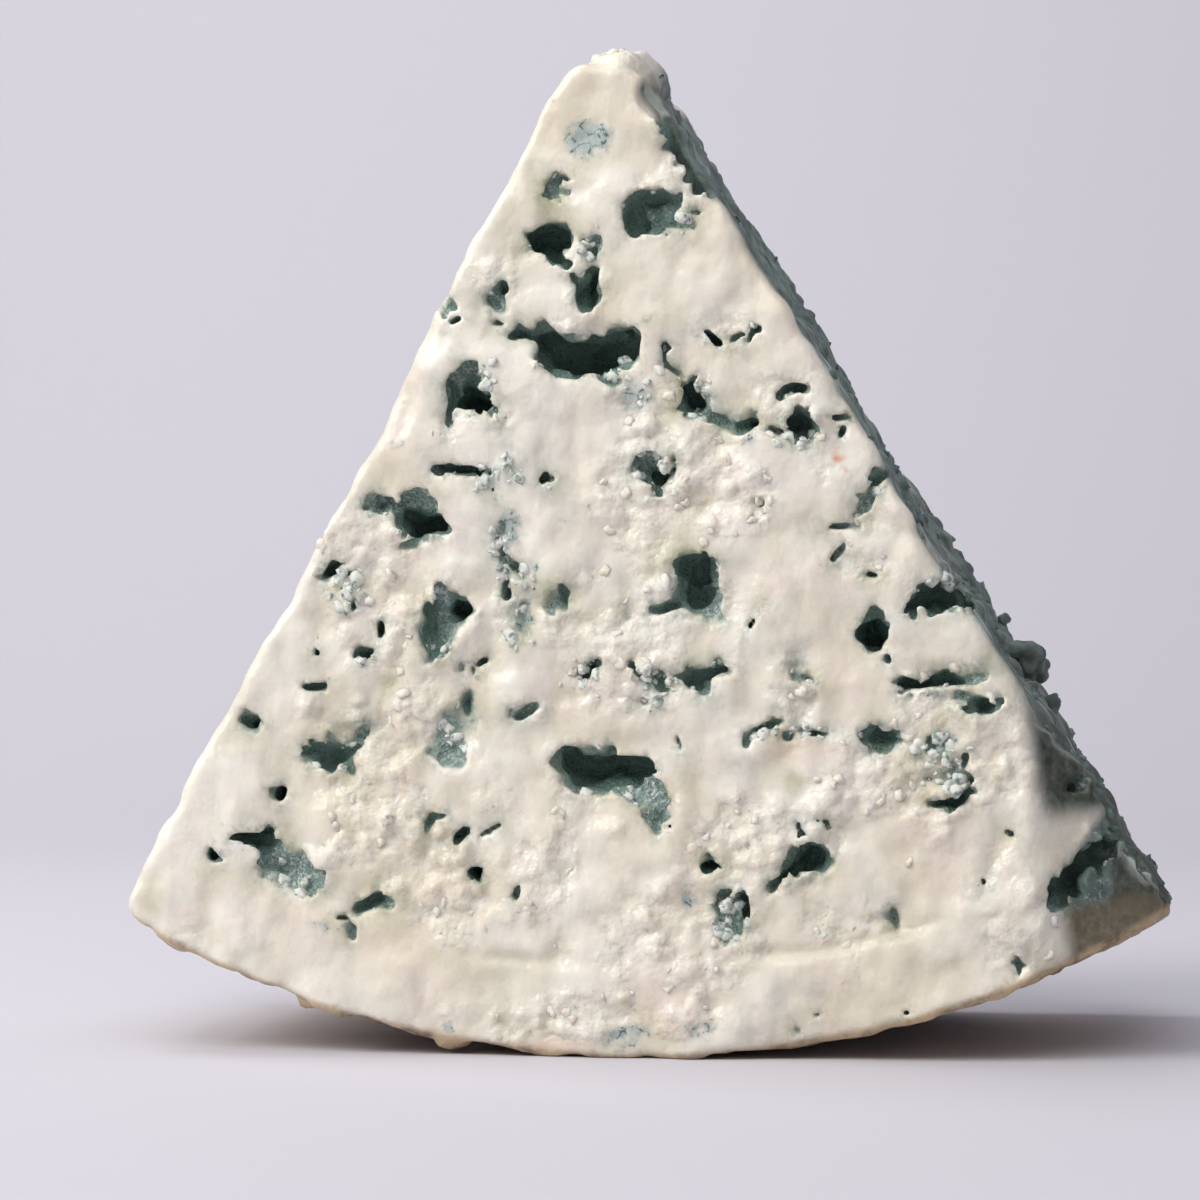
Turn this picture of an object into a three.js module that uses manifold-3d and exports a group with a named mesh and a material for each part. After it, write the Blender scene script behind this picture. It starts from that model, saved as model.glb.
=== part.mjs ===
// A wedge of blue cheese, standing on its curved rind with the point up.
//
// Millimetres, +Z up. The wheel that it was cut from has its axis along Y, and the broad cut face
// looks towards -Y. x and z are measured from the middle of the wedge's footprint.

import * as THREE from "three";
import { mergeVertices } from "three/addons/utils/BufferGeometryUtils.js";
import { ImprovedNoise } from "three/addons/math/ImprovedNoise.js";
import Module from "manifold-3d";

const wasm = await Module();
wasm.setup();

const { degToRad, lerp, seededRandom, smoothstep } = THREE.MathUtils;

// --- Driving dimensions ------------------------------------------------------------------------

const WHEEL_RADIUS = 100;
const WHEEL_AXIS = { x: -2.2, z: WHEEL_RADIUS };
const SLICE_THICKNESS = 50;

// The wheel is a little out of round: towards the back its rind stands further out at the right.
const RIND_FLARE = 2.6;

// The two long cuts would meet at this line, and each leans this far from the vertical.
const CUTS_MEET = { x: -4.1, z: 100.7 };
const LEFT_CUT = degToRad(29.0);
const RIGHT_CUT = degToRad(31.9);

// The right cut isn't quite square to the broad face: at the back it lies this far further in.
const RIGHT_TAPER = 0.7;

// The left cut bulges outwards, by this much near the rind and by more above the middle.
const LEFT_BULGE = { low: 0.4, high: 1.25, from: 60, to: 82 };

const EDGE_ROUND = 1.1;
const CORNER_ROUND = 2.6;
const FOOT_HALF_WIDTH = 7;

// Along the lower right the paste has torn away, so the broad face turns back from this line.
const BEVEL = { top: { x: 35.0, z: 36.0 }, foot: { x: 39.3, z: 7.3 }, slope: 0.9, ease: 1.2 };

// A pressed band along the rind stands a little proud of the broad face.
const BAND = { width: 9.2, proud: 0.45, ease: 1.5 };

// How far the faces wander: long waves and short crags, in millimetres.
const PASTE_RELIEF = { waves: 0.5, crags: 0.4, wavelength: 14, grain: 5.5 };
const CUT_RELIEF = { waves: 0.5, crags: 0.65, wavelength: 16, grain: 6 };
const RIND_RELIEF = { waves: 0.3, crags: 0.25, wavelength: 18, grain: 8 };

const PASTE_COLOUR = 0xe4dacd;
const PASTE_ROUGHNESS = 0.5;

// --- How finely the skin is divided ------------------------------------------------------------

const ROWS = 24; // from the point down to the rind
const TIP_ROW = 1; // the rows above this one are cut off, which blunts the point
const EDGE_STEPS = 2;
const WALL_STEPS = 8;
const FINE_EYE = 5.5; // an eye wider than this gets the finest facets
const SMALL_EYE = 2.6; // and one narrower than this the fewest
const LUMP_DETAIL = 1;

// --- Eyes and veins of the broad face ----------------------------------------------------------
// Each eye is one or more overlapping hollows: [x, z, wide, high, deep, turned anticlockwise in degrees].

const FRONT_EYES = {
  pointPit: [[-9.0, 84.5, 2.7, 2.7, 1.6, 0]],
  mouldyBowl: [[1.4, 81.8, 6.6, 4.6, 3.4, 0]],
  darkComma: [
    [-9.9, 79.3, 4.2, 2.8, 6, 10],
    [-8.8, 77.6, 2.8, 1.4, 4.4, -40],
  ],
  neckHole: [[-5.8, 74.7, 1.9, 4.0, 4, -8]],
  leftDot: [[-15.0, 74.0, 1.5, 2.4, 2.2, 18]],
  leftNotch: [[-19.7, 72.9, 2.2, 2.6, 1.8, 20]],
  wideMouth: [
    [-6.0, 68.1, 9.2, 4.4, 8, 0],
    [-9.9, 69.6, 3.8, 2.9, 5, -25],
    [-2.2, 69.3, 3.4, 3.3, 5, 30],
    [-12.3, 70.3, 3.0, 1.2, 2.2, -12],
  ],
  hoodedEye: [
    [-18.0, 65.2, 4.3, 4.8, 2.3, 8],
    [-17.2, 64.1, 3.7, 3.0, 7.5, 0],
  ],
  greenTeardrop: [
    [4.4, 64.2, 2.6, 3.9, 5, 15],
    [6.7, 62.2, 3.2, 1.3, 2.6, -30],
  ],
  rightPair: [
    [14.6, 61.5, 3.6, 2.9, 4, -8],
    [14.1, 64.9, 2.9, 1.4, 2.5, 5],
    [9.6, 61.7, 2.4, 1.6, 3, 0],
  ],
  leftSlit: [
    [-17.6, 57.1, 6.2, 1.4, 2.6, -3],
    [-13.6, 57.3, 2.3, 2.1, 1.6, 0],
  ],
  middleBowl: [[0.7, 57.1, 3.6, 2.9, 2.6, -5]],
  leftCave: [
    [-22.1, 51.8, 4.9, 3.2, 7, -12],
    [-24.6, 53.9, 5.4, 2.0, 2.0, -4],
  ],
  edgePair: [
    [-31.2, 47.3, 2.3, 1.7, 4, 8],
    [-29.9, 45.6, 2.2, 1.8, 1.4, 15],
  ],
  leftGroove: [[-13.6, 48.4, 1.7, 5.6, 1.6, 8]],
  tallCave: [
    [4.8, 46.3, 4.0, 6.2, 6, -8],
    [2.0, 43.9, 3.6, 1.4, 2.6, 8],
  ],
  rightVein: [
    [22.5, 56.0, 2.4, 1.4, 2, 25],
    [21.2, 53.7, 3.8, 1.3, 1.6, 50],
    [18.4, 49.0, 2.3, 1.1, 1.3, 55],
  ],
  edgeGash: [[28.1, 44.8, 6.0, 3.0, 6, 12]],
  blackSlot: [[21.7, 41.5, 2.4, 3.7, 7, 0]],
  mouldyHollow: [
    [-20.6, 42.3, 3.3, 6.8, 2.8, 0],
    [-18.3, 43.5, 2.7, 2.0, 6, -40],
  ],
  leftPinholes: [
    [-27.8, 39.1, 1.8, 1.5, 3, 0],
    [-39.2, 32.6, 2.2, 1.6, 3, 10],
    [-36.5, 25.5, 1.5, 2.1, 5, -8],
  ],
  darkTick: [[-17.8, 34.4, 1.2, 2.4, 3, -12]],
  leftTear: [
    [-31.2, 29.7, 5.6, 2.0, 3.2, 12],
    [-29.2, 29.4, 2.2, 2.6, 2.2, 25],
  ],
  middleDots: [
    [-5.7, 37.7, 1.9, 1.9, 2.4, 0],
    [-11.9, 33.8, 2.8, 1.4, 1.8, 20],
  ],
  archedEye: [[5.4, 37.3, 4.7, 2.0, 3, 4]],
  rightSlit: [
    [28.2, 36.5, 6.8, 1.5, 3.8, 12],
    [32.0, 34.5, 2.8, 1.6, 3, 10],
  ],
  smearedGroove: [[12.8, 31.8, 6.2, 1.2, 1.4, -5]],
  rightBowl: [[22.5, 31.4, 3.2, 2.4, 3.4, 5]],
  rightCup: [[30.1, 25.7, 3.8, 1.8, 3, 15]],
  lowCave: [
    [-4.9, 28.3, 8.8, 3.4, 7, -6],
    [-0.4, 26.0, 4.6, 3.8, 2.2, -20],
  ],
  lowSlit: [
    [15.1, 19.0, 4.4, 2.3, 5, 38],
    [15.8, 22.1, 2.3, 2.0, 1.2, 0],
  ],
  lowDots: [
    [6.1, 19.2, 1.7, 1.5, 3.4, 0],
    [-18.4, 21.6, 2.0, 1.1, 3, 45],
    [-16.8, 17.8, 1.5, 1.5, 5, 0],
    [-27.1, 15.1, 3.2, 1.7, 2.3, 33],
  ],
  crescent: [
    [-35.6, 18.3, 7.0, 3.3, 2.6, -33],
    [-39.0, 21.3, 4.4, 1.9, 4, 0],
    [-42.6, 19.4, 1.3, 1.4, 3, 20],
  ],
  mouldyKeyhole: [[8.2, 14.2, 3.2, 5.0, 2.2, 5]],
  bevelCrevice: [
    [41.6, 17.9, 7.6, 3.4, 4, 60],
    [40.6, 26.0, 2.0, 3.6, 2.2, 20],
  ],
};

// --- Lumps that stand proud: [x, y, z, half width, half depth, half height] --------------------

const POINT_LUMPS = [
  [-3.0, -16.6, 94.9, 4.2, 7.6, 3.6],
  [-4.0, -1.0, 94.2, 2.9, 14.0, 3.2],
  [-4.0, 15.5, 94.3, 3.0, 9.0, 3.2],
];
const POINT_SCOOP = [1.8, -25.2, 95.2, 3.4, 3.4, 3.1];
const RIM_LUMPS = [
  [-33.0, -23.4, 6.0, 1.6, 1.6, 1.5],
  [-19.4, -23.2, 2.0, 1.8, 2.0, 1.2],
  [6.4, -23.4, 1.7, 1.7, 1.8, 1.1],
];

// Crumbs stuck to the right cut: [distance down the cut from where the cuts meet, y, radius].
const CRUMBS = [
  [73.6, 1.0, 2.3],
  [75.9, 2.4, 1.9],
  [79.0, 0.0, 1.3],
  [44.9, 19.0, 1.4],
  [69.0, 15.0, 1.3],
];

// The faces out of sight carry eyes too, drawn at random: how many, and the seed of the draw.
const BACK_EYES = { count: 11, seed: 41 };
const LEFT_EYES = { count: 6, seed: 57 };
const RIGHT_EYES = { count: 6, seed: 73 };
const DRAWN_EYE = { narrowest: 2.2, widest: 7.5, margin: 5, gap: 2 };

// --- Small helpers -----------------------------------------------------------------------------

const perlin = new ImprovedNoise();

function noise(x, y, z, wavelength, shift) {
  return perlin.noise(x / wavelength + shift, y / wavelength - shift, z / wavelength + 2 * shift);
}

function distance(a, b) {
  return Math.hypot(a.x - b.x, a.z - b.z);
}

// A value that rises from 0 along a straight slope, with a soft start.
function softRamp(value, ease) {
  return (value + Math.hypot(value, ease)) / 2;
}

// A geometry's shared vertices made one, with nothing but positions left.
function welded(geometry) {
  geometry.deleteAttribute("normal");
  geometry.deleteAttribute("uv");
  return mergeVertices(geometry, 1e-4);
}

function solid(geometry) {
  return new wasm.Manifold(
    new wasm.Mesh({
      numProp: 3,
      vertProperties: new Float32Array(geometry.getAttribute("position").array),
      triVerts: new Uint32Array(geometry.index.array),
    }),
  );
}

function geometryOf(body) {
  const mesh = body.getMesh();
  const geometry = new THREE.BufferGeometry();
  geometry.setAttribute("position", new THREE.BufferAttribute(mesh.vertProperties, 3));
  geometry.setIndex(new THREE.BufferAttribute(mesh.triVerts, 1));
  geometry.computeVertexNormals();
  return geometry;
}

// --- The plain wedge ---------------------------------------------------------------------------

// Where the long cuts meet in a section drawn this far inside the full one.
function cutsMeet(inset) {
  const middle = (RIGHT_CUT - LEFT_CUT) / 2;
  const shift = inset / Math.sin((RIGHT_CUT + LEFT_CUT) / 2);
  return { x: CUTS_MEET.x + shift * Math.sin(middle), z: CUTS_MEET.z - shift * Math.cos(middle) };
}

// How far the rind is from a point, down a line that leans this far from the vertical.
function reachOfRind(from, lean, radius) {
  const dx = from.x - WHEEL_AXIS.x;
  const dz = from.z - WHEEL_AXIS.z;
  const along = dx * Math.sin(lean) - dz * Math.cos(lean);
  return Math.sqrt(along * along + radius * radius - dx * dx - dz * dz) - along;
}

// A point of the triangular grid that covers the section: row 0 is the point, row ROWS the rind.
function gridPoint(row, column, inset) {
  const from = cutsMeet(inset);
  const lean = lerp(-LEFT_CUT, RIGHT_CUT, column / row);
  const reach = (reachOfRind(from, lean, WHEEL_RADIUS - inset) * row) / ROWS;
  return { x: from.x + reach * Math.sin(lean), z: from.z - reach * Math.cos(lean) };
}

function sectionPoint(row, column, inset) {
  const point = gridPoint(row, column, inset);
  const atCorner = row === ROWS && (column === 0 || column === ROWS);
  if (!atCorner) return point;
  const inner = gridPoint(ROWS - 1, column ? ROWS - 2 : 1, inset);
  const pull = (CORNER_ROUND * (Math.SQRT2 - 1)) / distance(point, inner);
  return { x: lerp(point.x, inner.x, pull), z: lerp(point.z, inner.z, pull) };
}

// The rows and columns round the section: down the left cut, along the rind, up the right cut.
function outline() {
  const steps = [];
  for (let row = TIP_ROW; row < ROWS; row++) steps.push([row, 0]);
  for (let column = 0; column < ROWS; column++) steps.push([ROWS, column]);
  for (let row = ROWS; row > TIP_ROW; row--) steps.push([row, row]);
  for (let column = TIP_ROW; column > 0; column--) steps.push([TIP_ROW, column]);
  return steps;
}

// The sections from front to back: how far each is drawn in, and its y.
function sections() {
  const half = SLICE_THICKNESS / 2;
  const list = [];
  for (let step = 0; step <= EDGE_STEPS; step++) {
    const turn = (step / EDGE_STEPS) * (Math.PI / 2);
    list.push([EDGE_ROUND * (1 - Math.sin(turn)), EDGE_ROUND * (1 - Math.cos(turn)) - half]);
  }
  for (let step = 1; step < WALL_STEPS; step++) {
    list.push([0, (half - EDGE_ROUND) * ((2 * step) / WALL_STEPS - 1)]);
  }
  const backEdge = list.slice(0, EDGE_STEPS + 1).map(([inset, y]) => [inset, -y]);
  return [...list, ...backEdge.reverse()];
}

// One flat face as a triangular grid, facing -Y when it is the front.
function addCap(positions, index, y, isFront) {
  const first = [];
  for (let row = TIP_ROW; row <= ROWS; row++) {
    first[row] = positions.length / 3;
    for (let column = 0; column <= row; column++) {
      const { x, z } = sectionPoint(row, column, EDGE_ROUND);
      positions.push(x, y, z);
    }
  }
  const face = (a, b, c) => index.push(...(isFront ? [a, b, c] : [a, c, b]));
  for (let row = TIP_ROW; row < ROWS; row++) {
    for (let column = 0; column <= row; column++) {
      const above = first[row] + column;
      const below = first[row + 1] + column;
      face(above, below, below + 1);
      if (column < row) face(above, below + 1, above + 1);
    }
  }
}

// The walls: the two long cuts, the rind and the blunt point, as rings from front to back.
function addWalls(positions, index) {
  const around = outline();
  const rings = sections();
  const first = positions.length / 3;
  for (const [inset, y] of rings) {
    for (const [row, column] of around) {
      const { x, z } = sectionPoint(row, column, inset);
      positions.push(x, y, z);
    }
  }
  const vertex = (ring, step) => first + ring * around.length + (step % around.length);
  for (let ring = 0; ring < rings.length - 1; ring++) {
    for (let step = 0; step < around.length; step++) {
      const [a, b] = [vertex(ring, step), vertex(ring, step + 1)];
      const [c, d] = [vertex(ring + 1, step), vertex(ring + 1, step + 1)];
      index.push(a, c, b, b, c, d);
    }
  }
}

function plainWedge() {
  const positions = [];
  const index = [];
  addCap(positions, index, -SLICE_THICKNESS / 2, true);
  addCap(positions, index, SLICE_THICKNESS / 2, false);
  addWalls(positions, index);
  const geometry = new THREE.BufferGeometry();
  geometry.setAttribute("position", new THREE.Float32BufferAttribute(positions, 3));
  geometry.setIndex(index);
  return mergeVertices(geometry, 1e-4);
}

// --- Relief of the faces -----------------------------------------------------------------------

// How far the broad face lies behind its flat cut at a place.
function frontRecess(x, z) {
  const down = (BEVEL.top.z - z) / (BEVEL.top.z - BEVEL.foot.z);
  const torn = BEVEL.slope * softRamp(x - lerp(BEVEL.top.x, BEVEL.foot.x, down), BEVEL.ease);
  const fromRind = WHEEL_RADIUS - distance({ x, z }, WHEEL_AXIS);
  const band = 1 - smoothstep(fromRind, BAND.width - BAND.ease, BAND.width + BAND.ease);
  return Math.min(torn, SLICE_THICKNESS / 3) - BAND.proud * band;
}

// By what share the wheel is out of round at a place: nothing at the left, most at the right corner.
function flareAt({ x, z }) {
  const lean = Math.atan2(x - WHEEL_AXIS.x, WHEEL_AXIS.z - z);
  const fromAxis = distance({ x, z }, WHEEL_AXIS) / WHEEL_RADIUS;
  return (RIND_FLARE / WHEEL_RADIUS) * smoothstep(lean, 0, RIGHT_CUT) * fromAxis ** 4;
}

// How far the taper of the right cut moves a point of the back: nothing at the left, most at the cut.
function taperAt({ x, z }) {
  const lean = Math.atan2(x - CUTS_MEET.x, CUTS_MEET.z - z);
  return RIGHT_TAPER * smoothstep(lean, -LEFT_CUT, RIGHT_CUT);
}

// How far the bulge of the left cut moves a point to the left: most at that cut, nothing past the middle.
function bulgeAt({ x, z }) {
  const lean = Math.atan2(x - CUTS_MEET.x, CUTS_MEET.z - z);
  const { low, high, from, to } = LEFT_BULGE;
  return lerp(low, high, smoothstep(z, from, to)) * (1 - smoothstep(lean, -LEFT_CUT, 0));
}

// The relief that a point takes from the face it is on. It fades out towards the foot.
function reliefAt(point, normal) {
  const onRind = WHEEL_RADIUS - distance(point, WHEEL_AXIS) < EDGE_ROUND;
  const onPaste = Math.abs(normal.y) > Math.SQRT1_2;
  const { waves, crags, wavelength, grain } = onPaste ? PASTE_RELIEF : onRind ? RIND_RELIEF : CUT_RELIEF;
  const relief =
    waves * noise(point.x, point.y, point.z, wavelength, 3.7) +
    crags * noise(point.x, point.y, point.z, grain, 8.1);
  const fromFoot = Math.hypot(point.x - WHEEL_AXIS.x, 2 * point.z);
  return 2 * relief * smoothstep(fromFoot, FOOT_HALF_WIDTH, 3 * FOOT_HALF_WIDTH);
}

function roughenedWedge() {
  const geometry = plainWedge();
  const position = geometry.getAttribute("position");
  geometry.computeVertexNormals();
  const normals = geometry.getAttribute("normal").clone();
  const point = new THREE.Vector3();
  const normal = new THREE.Vector3();
  for (let i = 0; i < position.count; i++) {
    point.fromBufferAttribute(position, i);
    normal.fromBufferAttribute(normals, i);
    const back = point.y / SLICE_THICKNESS + 0.5;
    const recess = frontRecess(point.x, point.z) * (1 - back);
    const swell = 1 + flareAt(point) * back;
    const toLeft = taperAt(point) * back + bulgeAt(point);
    point.addScaledVector(normal, reliefAt(point, normal));
    position.setXYZ(i, point.x * swell - toLeft, point.y + recess, point.z + (1 - swell) * WHEEL_RADIUS);
  }
  geometry.deleteAttribute("normal");
  return solid(geometry);
}

// --- Eyes, crumbs and lumps --------------------------------------------------------------------

// An uneven ball, used as a hollow or as a lump. `radii` lie along the axes of `placing`.
function unevenBall(radii, placing, detail, seed, unevenness) {
  const geometry = welded(new THREE.IcosahedronGeometry(1, detail));
  const position = geometry.getAttribute("position");
  const point = new THREE.Vector3();
  for (let i = 0; i < position.count; i++) {
    point.fromBufferAttribute(position, i);
    const { x, y, z } = point;
    const broad = noise(x, y, z, 0.9, seed);
    const fine = noise(x, y, z, 0.4, seed + 0.5);
    point.multiplyScalar(1.05 + unevenness * (broad + 0.5 * fine));
    position.setXYZ(i, point.x * radii[0], point.y * radii[1], point.z * radii[2]);
  }
  return solid(geometry.applyMatrix4(placing));
}

function eyeDetail(width) {
  if (width > FINE_EYE) return 2;
  return width < SMALL_EYE ? 0 : 1;
}

// A hollow whose mouth is `wide` by `high` in the plane of `placing`, and whose middle lies a little
// under the surface, so that the paste overhangs it.
function eye(wide, high, deep, placing, seed) {
  const sunk = 0.3;
  const swell = 1 / Math.sqrt(1 - sunk * sunk);
  const halfDeep = deep / (1 + sunk);
  const radii = [(wide / 2) * swell, halfDeep, (high / 2) * swell];
  const middle = new THREE.Matrix4().makeTranslation(0, sunk * halfDeep, 0);
  return unevenBall(radii, placing.clone().multiply(middle), eyeDetail(wide), seed, 0.38);
}

// A place on a face: `at` on the surface, `across` along it and `inward` into the paste.
function placeOn(at, across, inward, turn) {
  const up = new THREE.Vector3().crossVectors(across, inward);
  const placing = new THREE.Matrix4().makeBasis(across, inward, up).setPosition(at);
  return placing.multiply(new THREE.Matrix4().makeRotationY(-turn));
}

function frontEyes() {
  const across = new THREE.Vector3(1, 0, 0);
  const inward = new THREE.Vector3(0, 1, 0);
  return Object.values(FRONT_EYES)
    .flat()
    .map(([x, z, wide, high, deep, turn], i) => {
      const at = new THREE.Vector3(x, frontRecess(x, z) - SLICE_THICKNESS / 2, z);
      return eye(wide, high, deep, placeOn(at, across, inward, degToRad(turn)), 11 + i);
    });
}

// The faces out of sight. `spot` gives a place on the face from two numbers between 0 and 1, and the
// place's distance in from the nearest edge.
function backFace() {
  const spot = (u, v) => {
    const row = ROWS * Math.sqrt(lerp(0.03, 1, u));
    const { x, z } = gridPoint(row, row * v, 0);
    const reach = (WHEEL_RADIUS * row) / ROWS;
    const toCut = reach * Math.sin((LEFT_CUT + RIGHT_CUT) * Math.min(v, 1 - v));
    return { at: new THREE.Vector3(x, SLICE_THICKNESS / 2, z), toEdge: Math.min(toCut, WHEEL_RADIUS - reach) };
  };
  return { spot, across: new THREE.Vector3(-1, 0, 0), inward: new THREE.Vector3(0, -1, 0) };
}

function cutFace(lean) {
  const down = new THREE.Vector3(Math.sin(lean), 0, -Math.cos(lean));
  const side = Math.sign(lean);
  const spot = (u, v) => {
    const reach = WHEEL_RADIUS * lerp(0.1, 1, u);
    const y = SLICE_THICKNESS * (v - 0.5);
    const at = new THREE.Vector3(CUTS_MEET.x, y, CUTS_MEET.z).addScaledVector(down, reach);
    return { at, toEdge: Math.min(WHEEL_RADIUS - reach, SLICE_THICKNESS / 2 - Math.abs(y)) };
  };
  const inward = new THREE.Vector3(-Math.cos(lean), 0, -Math.sin(lean)).multiplyScalar(side);
  return { spot, across: new THREE.Vector3(0, side, 0), inward };
}

// Eyes drawn at random over a face, none of them on another or over an edge.
function drawnEyes(face, { count, seed }) {
  seededRandom(seed);
  const placed = [];
  while (placed.length < count) {
    const { at, toEdge } = face.spot(seededRandom(), seededRandom());
    const wide = lerp(DRAWN_EYE.narrowest, DRAWN_EYE.widest, seededRandom() ** 2);
    const high = wide * lerp(0.45, 0.85, seededRandom());
    const deep = lerp(2, 6, seededRandom());
    const turn = Math.PI * seededRandom();
    const clear = placed.every((other) => other.at.distanceTo(at) > (other.wide + wide) / 2 + DRAWN_EYE.gap);
    if (clear && toEdge > DRAWN_EYE.margin + wide / 2) placed.push({ at, wide, high, deep, turn });
  }
  return placed.map(({ at, wide, high, deep, turn }, i) =>
    eye(wide, high, deep, placeOn(at, face.across, face.inward, turn), seed + i),
  );
}

function lump([x, y, z, ...radii], seed) {
  return unevenBall(radii, new THREE.Matrix4().makeTranslation(x, y, z), LUMP_DETAIL, seed, 0.16);
}

function crumb([reach, y, radius], seed) {
  const standsProud = 0.5 * radius;
  const at = new THREE.Vector3(
    CUTS_MEET.x + reach * Math.sin(RIGHT_CUT) + standsProud * Math.cos(RIGHT_CUT),
    y,
    CUTS_MEET.z - reach * Math.cos(RIGHT_CUT) + standsProud * Math.sin(RIGHT_CUT),
  );
  return unevenBall([radius, radius, radius], new THREE.Matrix4().setPosition(at), 1, seed, 0.3);
}

// A block under the level at which the curved rind is worn flat, so that the wedge stands.
function underFoot() {
  const worn = WHEEL_RADIUS - Math.sqrt(WHEEL_RADIUS ** 2 - FOOT_HALF_WIDTH ** 2);
  const block = new THREE.BoxGeometry(WHEEL_RADIUS, 2 * SLICE_THICKNESS, WHEEL_RADIUS);
  return solid(welded(block.translate(0, 0, worn - WHEEL_RADIUS / 2)));
}

// --- The whole wedge ---------------------------------------------------------------------------

function cheese() {
  const lumps = [...POINT_LUMPS, ...RIM_LUMPS].map((each, i) => lump(each, 31 + i));
  const crumbs = CRUMBS.map((each, i) => crumb(each, 61 + i));
  const hollows = [
    ...frontEyes(),
    ...drawnEyes(backFace(), BACK_EYES),
    ...drawnEyes(cutFace(-LEFT_CUT), LEFT_EYES),
    ...drawnEyes(cutFace(RIGHT_CUT), RIGHT_EYES),
    lump(POINT_SCOOP, 91),
    underFoot(),
  ];
  const whole = [...lumps, ...crumbs].reduce((body, each) => body.add(each), roughenedWedge());
  const hollowed = hollows.reduce((body, each) => body.subtract(each), whole);
  const pieces = hollowed.decompose();
  return pieces.reduce((largest, each) => (each.volume() > largest.volume() ? each : largest));
}

const paste = new THREE.MeshStandardMaterial({ color: PASTE_COLOUR, roughness: PASTE_ROUGHNESS, metalness: 0 });
const wedge = new THREE.Mesh(geometryOf(cheese()), paste);
wedge.name = "cheese_wedge";

// The origin is under the middle of the wedge, on the surface that it stands on.
wedge.geometry.computeBoundingBox();
const box = wedge.geometry.boundingBox;
wedge.position.set(-(box.min.x + box.max.x) / 2, -(box.min.y + box.max.y) / 2, -box.min.z);

const root = new THREE.Group();
root.add(wedge);

export default root;
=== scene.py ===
import math

import bpy
import numpy as np
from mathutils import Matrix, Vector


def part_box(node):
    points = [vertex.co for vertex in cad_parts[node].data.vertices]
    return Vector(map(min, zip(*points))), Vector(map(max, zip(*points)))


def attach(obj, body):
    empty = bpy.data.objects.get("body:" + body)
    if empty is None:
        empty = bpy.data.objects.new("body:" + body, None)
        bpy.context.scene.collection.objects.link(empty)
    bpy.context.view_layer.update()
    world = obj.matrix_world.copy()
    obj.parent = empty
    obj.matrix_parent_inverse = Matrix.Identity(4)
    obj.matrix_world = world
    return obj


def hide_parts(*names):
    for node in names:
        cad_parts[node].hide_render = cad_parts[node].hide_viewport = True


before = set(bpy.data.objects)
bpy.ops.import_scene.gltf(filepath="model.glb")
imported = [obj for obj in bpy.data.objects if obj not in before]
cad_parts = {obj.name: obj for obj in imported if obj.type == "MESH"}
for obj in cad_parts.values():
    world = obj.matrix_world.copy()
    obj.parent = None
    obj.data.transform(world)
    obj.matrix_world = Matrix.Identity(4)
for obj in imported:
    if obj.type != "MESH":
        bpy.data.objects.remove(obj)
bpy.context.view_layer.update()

import openvdb
from mathutils import Vector

# A wedge of blue cheese, standing on its curved rind with the point up.
#
# The cheese is worked out as a distance field on a grid: the plain wedge, then its relief, then the
# eyes carved out of it. Lengths are in millimetres until a mesh is made of them. The wheel's axis
# lies along Y, and the broad cut face looks towards -Y.

MM = 0.001

# --- Driving dimensions ------------------------------------------------------------------------

WHEEL_RADIUS = 100.0
WHEEL_AXIS = (-2.2, WHEEL_RADIUS)
THICKNESS = 50.0
FRONT = -THICKNESS / 2

# Behind the broad face its relief, its finer mesh and its marks fade out between these depths.
RELIEF_FADE = (3.0, 6.0)
MESH_FADE = (3.0, 8.0)
MARK_FADE = (2.5, 5.0)

RIND_FLARE = 2.6

CUTS_MEET = (-4.1, 100.7)
LEFT_CUT = math.radians(29.0)
RIGHT_CUT = math.radians(31.9)
POINT_TOP = 96.3

# The right cut isn't quite square to the broad face: at the back it lies this far further in.
RIGHT_TAPER = 0.7

# The left cut bulges outwards, by this much near the rind and by more above the middle.
LEFT_BULGE_LOW = 0.4
LEFT_BULGE_HIGH = 1.25
LEFT_BULGE_FROM = 60.0
LEFT_BULGE_TO = 82.0

EDGE_ROUND = 1.1
CORNER_ROUND = 1.8
FOOT_HALF_WIDTH = 7.0

# Along the lower right the paste has torn away, so the broad face turns back from this line.
BEVEL_TOP = (35.0, 36.0)
BEVEL_FOOT = (39.3, 7.3)
BEVEL_SLOPE = 0.9
BEVEL_EASE = 1.2

# A pressed band along the rind stands a little proud of the broad face.
BAND_WIDTH = 9.2
BAND_PROUD = 0.45
BAND_EASE = 1.5

VOXEL = 0.31
GRID_LOW = (-53.5, -27.2, -1.2)
GRID_HIGH = (53.5, 27.2, 100.6)

# --- Eyes of the broad face --------------------------------------------------------------------
# How much pale mould lines a hollow.
BARE = 0.0
DUSTED = 0.35
FURRED = 0.8

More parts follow.
